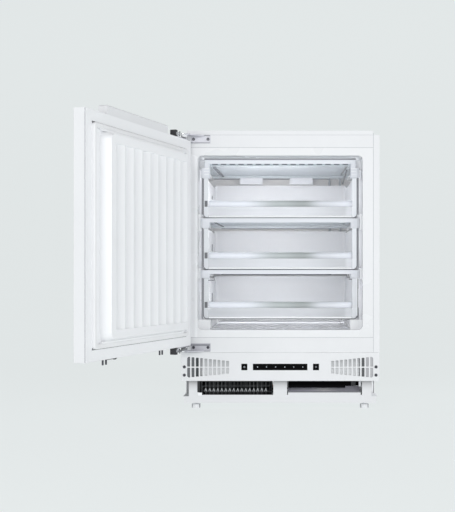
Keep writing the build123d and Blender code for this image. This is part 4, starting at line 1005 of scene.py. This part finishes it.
class FREEZER_OT_vents(bpy.types.Operator):
    """Fill the plinth's vents with sloping louvres, and paint the shade of the wells at their outer ends"""

    bl_idname = "freezer.vents"
    bl_label = "Plinth vents"

    def execute(self, context):
        pale = louvre_finish("louvre_plastic")
        for name, side in SIDES:
            slab(f"vent_backing_{name}", mirrored(side, 236.0, 150.0), (4.2, 4.8), (95.0, 156.0), pale)
            for place, (word, tone) in enumerate(WELL_SHADES[name].items()):
                x = about(side * (274.65 - 13.0 * place), 6.4)
                # each well is a dark sheet of painted shade in the vent's outer end
                depth = moulded_plastic(f"vent_shade_{name}_{word}", tone, 0.7)
                slab(f"vent_well_{name}_{word}", x, (3.2, 4.0), (92.0, 158.0), depth)
            piece(f"vent_corners_{name}", lambda bm: vent_corners(bm, side), satin_edge())
            start = (side * 0.1935, 0.0052, 0.0972)
            row_piece(f"louvres_{name}", louvre, 15, start, (0, 0, 0.0041), pale)
        return {"FINISHED"}


# Display and buttons


def sign_ring(bm, centre, radius=1.7):
    """A small flat ring."""
    hole = radius * 0.62
    profile = [(-0.1, hole), (-0.1, radius), (0.1, radius), (0.1, hole), (-0.1, hole)]
    turned(bm, profile, centre, (0, 1, 0), 20)


def sign_cross(bm, centre, size=1.8):
    """A small plain cross."""
    x, y, z = (c / MM for c in centre)
    arm = size * 0.2
    for wide, tall in ((size, arm), (arm, size)):
        block(bm, about(x, wide), about(y, 0.1), about(z, tall))


def sign_dot(bm, centre):
    """A small dot."""
    disc(bm, centre, 1.5, 16)


def control_frames(bm):
    """Thin frames in the joints round the display and the two buttons."""
    gap = 0.75
    y = (-0.25, 0.2)
    z0, z1 = 117.0, 135.0
    for x0, x1 in ((-81.0, 81.0), (-115.75, -99.25), (99.25, 115.75)):
        for z in ((z1 + 0.05, z1 + gap), (z0 - gap, z0 - 0.05)):
            block(bm, (x0 - gap, x1 + gap), y, z, edge=0.1)
        for x in ((x0 - gap, x0 - 0.05), (x1 + 0.05, x1 + gap)):
            block(bm, x, y, (z0, z1), edge=0.1)


class FREEZER_OT_controls(bpy.types.Operator):
    """Light the display's small signs, mark the two buttons and frame all three"""

    bl_idname = "freezer.controls"
    bl_label = "Controls"

    def execute(self, context):
        glow = glowing("display_glow", (0.62, 0.67, 0.73), 0.10)
        dim = glowing("button_mark", (0.42, 0.44, 0.48), 0.22)
        y = (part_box("display_window")[0][1] / MM - 0.05) * MM

        def signs(bm):
            for count in range(6):
                maker = (sign_dot, sign_cross, sign_ring)[count % 3]
                maker(bm, ((-68.0 + 27.2 * count) * MM, y, 0.126))

        piece("display_signs", signs, glow)
        for maker, node, body in (
            (sign_ring, "power_button", "power_key"), (sign_cross, "function_button", "function_key"),
        ):
            low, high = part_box(node)
            centre = ((low[0] + high[0]) / 2, low[1] - 0.00005, (low[2] + high[2]) / 2)
            piece(f"{node}_mark", lambda bm: maker(bm, centre, 2.6), dim, body)
        piece("control_frames", control_frames, deep_black("control_frame_black", 0.004, 0.4))
        return {"FINISHED"}


# Base


def fin_tooth(bm):
    """One tooth of the bent wire: two bars that meet at the top."""
    half, rise, thick = 3.3, 9.6, 0.75
    reach = math.hypot(half, rise)
    for side in (-1, 1):
        turn = Matrix.Rotation(side * math.atan2(half, rise), 3, "Y")
        shift = Vector((-side * half / 2 * MM, 0, 0))
        block(bm, about(0, thick), about(0, thick), about(0, reach / 2), place=lambda co: turn @ co + shift)


def left_duct(bm):
    """Dark sheets of painted shade round the works behind the left opening."""
    block(bm, (-243.5, -241.5), (6.0, 140.0), (20.0, 108.0), edge=0.4)
    block(bm, (-241.5, -24.0), (125.0, 126.5), (20.0, 108.0), edge=0.4)
    block(bm, (-26.0, -24.4), (6.0, 125.0), (20.0, 100.0), edge=0.4)


def right_shade_sheets(bm):
    """Black sheets of painted shade above the guide sheet behind the right opening."""
    block(bm, (24.6, 239.0), (37.5, 38.7), (66.0, 106.0), edge=0.4)
    block(bm, (24.6, 239.0), (12.0, 37.5), (105.0, 106.0), edge=0.3)
    block(bm, (24.6, 196.0), (7.2, 8.2), (62.8, 70.0), edge=0.2)


def skid(bm, side):
    """The sloping end of a runner beside the base's beam."""
    outline = [(side * 274.5, 38.0), (side * 290.5, 38.0), (side * 279.5, 48.5), (side * 274.5, 48.5)]
    prism(bm, outline, (3.0, 3.9))


class FREEZER_OT_base_works(bpy.types.Operator):
    """Dress the works behind the base openings, and the ends of the base's beam"""

    bl_idname = "freezer.base_works"
    bl_label = "Base works"

    def execute(self, context):
        wire = satin_zinc("bright_fin_wire", (0.62, 0.64, 0.66))
        dusk = moulded_plastic("duct_shade_sheet", (0.018, 0.02, 0.022), 0.7)
        # painted shade for the fin strands, and for the relay fittings at its darkest end
        dull = shaded_wire_tone("shaded_fin_wire")
        pitch = (0.0121, 0, 0)
        row_piece("fin_zigzag", fin_tooth, 16, (-0.2252, 0.0270, 0.0542), pitch, wire)

        def strand(bm):
            block(bm, (-0.8, 0.8), (-0.5, 0.5), (20.0, 104.0))

        row_piece("fin_strands", strand, 18, (-0.2373, 0.0300, 0.0), pitch, dull)
        piece("left_duct", left_duct, dusk)
        piece("right_shade_sheets", right_shade_sheets, deep_black("black_shade_sheet"))
        # painted shade: the white tab is painted grey inside the opening
        tab = moulded_plastic("shaded_tab_plastic", (0.6, 0.61, 0.64), 0.5)
        foot = moulded_plastic("guide_foot_grey", (0.17, 0.17, 0.19), 0.6)
        dark = moulded_plastic("opening_shade_grey", (0.025, 0.026, 0.028), 0.7)
        # painted shade for the left side gap
        gap = moulded_plastic("side_gap_shade_grey", (0.27, 0.275, 0.29), 0.7)
        slab("white_tab", (236.5, 243.0), (8.5, 10.5), (66.5, 84.5), tab, edge=0.4)
        slab("guide_foot", (24.6, 241.0), (5.7, 6.7), (47.8, 52.8), foot, edge=0.2)
        slab("opening_shade", (-248.8, -241.8), (3.5, 4.1), (50.0, 84.5), dark, edge=0.2)
        slab("relay_fittings", (214.5, 229.0), (28.0, 37.0), (66.5, 92.0), dull, edge=1.2)
        slab("corner_notch", (-247.0, -234.8), (3.6, 5.4), (40.0, 48.7), satin_edge(), edge=0.3)
        # painted shade: the left skid and side gap are painted dark grey, their right twins pale
        tones = {"left": ((0.20, 0.21, 0.215), gap), "right": ((0.62, 0.63, 0.65), satin_edge())}
        for name, side in SIDES:
            tone, beside = tones[name]
            runner = moulded_plastic(f"skid_shade_{name}", tone, 0.6)
            piece(f"skid_{name}", lambda bm: skid(bm, side), runner)
            slab(f"side_gap_{name}", mirrored(side, 274.4, 280.0), (8.0, 9.0), (44.0, 84.0), beside)
        return {"FINISHED"}


# Hinges and door


def door_ends():
    """The heights of the door's lower and upper end, in millimetres."""
    low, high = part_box("door_panel")
    return low[2] / MM, high[2] / MM


def hinge_caps(bm):
    """Dark plastic at both hinges: a block at the arm's end and two covers along it."""
    low, high = door_ends()
    for side, face in ((1, high), (-1, low)):
        for u, v, near, far, edge in (
            ((69.0, 80.6), (-9.5, 9.7), 0.4, 21.0, 1.2),
            ((16.0, 44.0), (9.0, 10.4), 3.4, 9.4, 0.3),
            ((53.0, 57.0), (9.0, 10.3), 6.0, 19.0, 0.3),
        ):
            door_block(bm, u, v, sorted((face + side * near, face + side * far)), edge)


def hinge_rings(bm):
    """Two bright rings on each hinge arm."""
    low, high = door_ends()
    rim = [(-0.2, 2.4), (1.2, 2.4), (1.2, 4.4), (-0.2, 4.4), (-0.2, 2.4)]
    for side, face in ((1, high), (-1, low)):
        for u, v, rise in ((74.8, 9.3, 10.0), (61.0, 8.8, 12.0)):
            turned(bm, rim, door_point(u, v, face + side * rise), DOOR_V, 24)


def plate_rims(bm):
    """Grey lines along the upper and lower rims of the two hinge plates."""
    y = (-4.55, -3.9)
    for node, drop, thick in (("hinge_plate_upper", 0.4, 1.5), ("hinge_plate_lower", 2.8, 4.0)):
        corner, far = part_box(node)
        x = (-270.0, far[0] / MM - 1.5)
        top = far[2] / MM - drop
        foot = corner[2] / MM + 0.4
        block(bm, x, y, (top - thick, top), edge=0.2)
        block(bm, x, y, (foot, foot + 1.2), edge=0.2)


# the hinge screws' places along X, and the depth of their heads' faces in metres
SCREW_X = (-259.75, -216.25)
SCREW_FACE = -0.00425


def upper_sockets(bm):
    """Six-sided sockets in the upper hinge's screws, painted lighter for the light on them."""
    for x in SCREW_X:
        disc(bm, (x * MM, SCREW_FACE, 0.8075), 2.1, 6)


def dark_sockets(bm):
    """Six-sided sockets in the lower hinge's screws and in the plinth's, painted dark for the shade inside
    them.
    """
    for x in SCREW_X:
        disc(bm, (x * MM, SCREW_FACE, 0.184), 1.9, 6)
    for _, side in SIDES:
        for z in (126.3, 101.7):
            disc(bm, (side * 0.2875, -0.00165, z * MM), 1.7, 6)


class FREEZER_OT_hinges(bpy.types.Operator):
    """Add the covers, rings, rims and screw sockets of the hinges, and the plinth's screw sockets"""

    bl_idname = "freezer.hinges"
    bl_label = "Hinges"

    def execute(self, context):
        dark = moulded_plastic("hinge_block_plastic", (0.03, 0.03, 0.035), 0.45)
        chrome = polished_metal("hinge_ring_steel", (0.72, 0.73, 0.75), 0.16)
        link_grey = satin_zinc("link_cover_grey", (0.24, 0.245, 0.26))
        piece("hinge_caps", hinge_caps, dark, "door", smooth=True)
        piece("hinge_rings", hinge_rings, chrome, "door", smooth=True)
        low, high = door_ends()
        for name, face, side, tone in (("upper", high, 1, satin_edge()), ("lower", low, -1, link_grey)):
            z = sorted((face + side * 5.4, face + side * 14.7))
            piece(
                f"link_cover_{name}", lambda bm: door_block(bm, (17.8, 43.5), (7.4, 16.0), z, 1.0),
                tone, f"link_{name}", smooth=True,
            )
        z = (low - 14.6, low - 9.6)
        piece("arm_panel", lambda bm: door_block(bm, (45.0, 65.5), (9.0, 10.1), z, 0.3), link_grey, "door")
        piece("plate_rims", plate_rims, moulded_plastic("plate_rim_grey", (0.24, 0.245, 0.27), 0.6))
        piece("upper_screw_sockets", upper_sockets, satin_zinc("screw_socket_lit", (0.22, 0.22, 0.23)))
        screw = polished_metal("screw_socket_shade", (0.055, 0.056, 0.062), 0.5)
        piece("screw_sockets", dark_sockets, screw)
        return {"FINISHED"}


class FREEZER_OT_door_details(bpy.types.Operator):
    """Add the gasket's groove as painted shade, its lips, the panel's seams and edge, and the plate under
    the door
    """

    bl_idname = "freezer.door_details"
    bl_label = "Door details"

    def execute(self, context):
        low, high = door_ends()
        near, free = -12.7, 577.3

        # dark strips and dots that paint the shade in the gasket's groove
        def grooves(bm):
            for z in ((high - 30.1, high - 27.8), (low + 28.2, low + 30.1)):
                door_block(bm, (near + 32, free - 31), (12.6, 13.5), z)
            for u in (near + 33.5, free - 32.5):
                for z in (high - 31.5, low + 31.5):
                    door_block(bm, about(u, 0.8), (12.9, 13.9), about(z, 2.2), 0.3)

        def lips(bm):
            for z in ((high - 46.7, high - 41.6), (low + 41.6, low + 46.7)):
                door_block(bm, (near + 66, free - 66), (12.6, 21.2), z, 0.2)

        def seams(bm):
            door_block(bm, (free - 0.2, free + 0.15), (11.4, 12.3), (low + 1, high - 1))
            door_block(bm, (free - 3.6, free - 3.0), (12.6, 12.85), (low + 1, high - 1))

        def edge_bead(bm):
            door_block(bm, (free - 8.5, free - 3.8), (12.6, 13.3), (low + 0.5, high - 0.5), 0.3)

        def stud_plate(bm):
            door_block(bm, (423.0, 471.0), (6.0, 12.0), (low - 1.6, low + 0.1), 0.3)
            door_block(bm, (428.0, 435.0), (6.0, 12.0), (low - 3.6, low + 0.1), 0.5)

        groove = moulded_plastic("gasket_groove_shade", (0.13, 0.133, 0.142), 0.8)
        lip = moulded_plastic("gasket_lip_vinyl", (0.90, 0.905, 0.92), 0.5, 600.0)
        seam = moulded_plastic("door_seam_shadow", (0.36, 0.37, 0.4), 0.8)
        dark = moulded_plastic("stud_plate_black", (0.02, 0.02, 0.022), 0.5)
        piece("gasket_groove_shade", grooves, groove, "door")
        piece("gasket_lips", lips, lip, "door")
        piece("door_seams", seams, seam, "door")
        piece("door_edge_bead", edge_bead, satin_edge(), "door")
        piece("stud_plate", stud_plate, dark, "door")
        return {"FINISHED"}


# Feet


def foot_flanks(bm, x):
    """Grey flanks of a front foot's base, either side of its middle."""
    for way in (-1, 1):
        block(bm, sorted((x + way * 10.2, x + way * 12.25)), (25.0, 39.0), (0.6, 11.6), edge=0.3)


def thread_turn(bm):
    """One turn of a thread."""
    rim = [(-0.45, 3.96), (0.0, 4.03), (0.45, 3.96), (0.0, 3.9), (-0.45, 3.96)]
    turned(bm, rim, (0, 0, 0), (0, 0, 1), 20)


class FREEZER_OT_feet(bpy.types.Operator):
    """Add the grey flanks and the threads of the feet"""

    bl_idname = "freezer.feet"
    bl_label = "Feet"

    def execute(self, context):
        thread = polished_metal("foot_thread_zinc", (0.62, 0.63, 0.65), 0.25)
        flank = moulded_plastic("foot_flank_grey", (0.28, 0.285, 0.30), 0.6)
        for name, side in SIDES:
            x = side * 255.0
            piece(f"foot_flanks_{name}", lambda bm: foot_flanks(bm, x), flank, f"foot_front_{name}_body")
            for depth, y in (("front", 0.032), ("rear", 0.470)):
                row_piece(
                    f"foot_thread_{depth}_{name}", thread_turn, 5, (x * MM, y, 0.0126), (0, 0, 0.0011),
                    thread, f"foot_{depth}_{name}_body",
                )
        return {"FINISHED"}


# Add-on


def colour_choice(name, description, default):
    """A colour that a user may change."""
    return bpy.props.FloatVectorProperty(
        name=name, description=description, default=default, subtype="COLOR", min=0.0, max=1.0,
    )


def cover_choice(name, part, default):
    """How far a part of a drawer covers what is behind it."""
    return bpy.props.FloatProperty(
        name=name, description=f"How far {part} covers what is behind it",
        default=default, min=0.0, max=1.0, subtype="FACTOR",
    )


def light_choice(name, description, default):
    """An amount of light that a user may change."""
    return bpy.props.FloatProperty(name=name, description=description, default=default, min=0.0)


class FreezerLook(bpy.types.PropertyGroup):
    """Colours and light that a user may change"""

    cabinet_white: colour_choice("Cabinet white", "Colour of casing, bars and plinth", (0.815, 0.822, 0.84))
    liner_white: colour_choice("Liner white", "Colour of the formed liner sheets", (0.82, 0.828, 0.845))
    styrene: colour_choice("Drawer plastic", "Colour of the drawers' clear plastic", (0.86, 0.88, 0.92))
    # the grip's pale is the groove's own colour; its grey is a painted reflection of the dark surroundings
    # in the curved groove
    grip_pale: colour_choice("Grip pale", "Colour of the groove at its ends", (0.88, 0.90, 0.95))
    grip_reflection_grey: colour_choice("Grip grey", "Colour of the groove right of its middle", (0.44, 0.47, 0.475))
    clear_cover: cover_choice("Clear cover", "the clear part of a drawer front", 0.10)
    frost_cover: cover_choice("Frosted cover", "the frosted part of a drawer front", 0.55)
    post_cover: cover_choice("Post cover", "each side post of a drawer front", 0.92)
    tub_cover: cover_choice("Tub cover", "a drawer's tub", 0.86)
    floor_colour: colour_choice("Floor", "Colour of the studio floor", (0.74, 0.775, 0.775))
    floor_glow: light_choice("Floor glow", "How far the floor lights itself, as on a light table", 0.88)
    air_strength: light_choice("Air light", "Strength of the even light from all round", 0.36)
    front_power: light_choice("Front light", "Power of the large light by the camera", 18.0)
    right_power: light_choice("Right light", "Power of the large light at the right", 42.0)
    left_power: light_choice("Left light", "Power of the large light at the left", 34.0)
    inner_power: light_choice("Inner light", "Share of power of the small lights inside the cabinet", 1.0)


class FREEZER_PT_panel(bpy.types.Panel):
    """Buttons for each step of the freezer"""

    bl_label = "Freezer"
    bl_idname = "FREEZER_PT_panel"
    bl_space_type = "VIEW_3D"
    bl_region_type = "UI"
    bl_category = "Freezer"

    def draw(self, context):
        look = context.scene.freezer_look
        for name in FreezerLook.__annotations__:
            self.layout.prop(look, name)
        for operator in OPERATORS:
            self.layout.operator(operator.bl_idname)


OPERATORS = (
    FREEZER_OT_stage, FREEZER_OT_finishes, FREEZER_OT_drawer_fronts, FREEZER_OT_front_seams,
    FREEZER_OT_shelf_details, FREEZER_OT_vents, FREEZER_OT_controls, FREEZER_OT_base_works,
    FREEZER_OT_hinges, FREEZER_OT_door_details, FREEZER_OT_feet,
)
CLASSES = (FreezerLook, *OPERATORS, FREEZER_PT_panel)


def register():
    for cls in CLASSES:
        bpy.utils.register_class(cls)
    bpy.types.Scene.freezer_look = bpy.props.PointerProperty(type=FreezerLook)


def unregister():
    del bpy.types.Scene.freezer_look
    for cls in reversed(CLASSES):
        bpy.utils.unregister_class(cls)


def main():
    register()
    for operator in OPERATORS:
        group, name = operator.bl_idname.split(".")
        getattr(getattr(bpy.ops, group), name)()


if __name__ == "__main__":
    main()
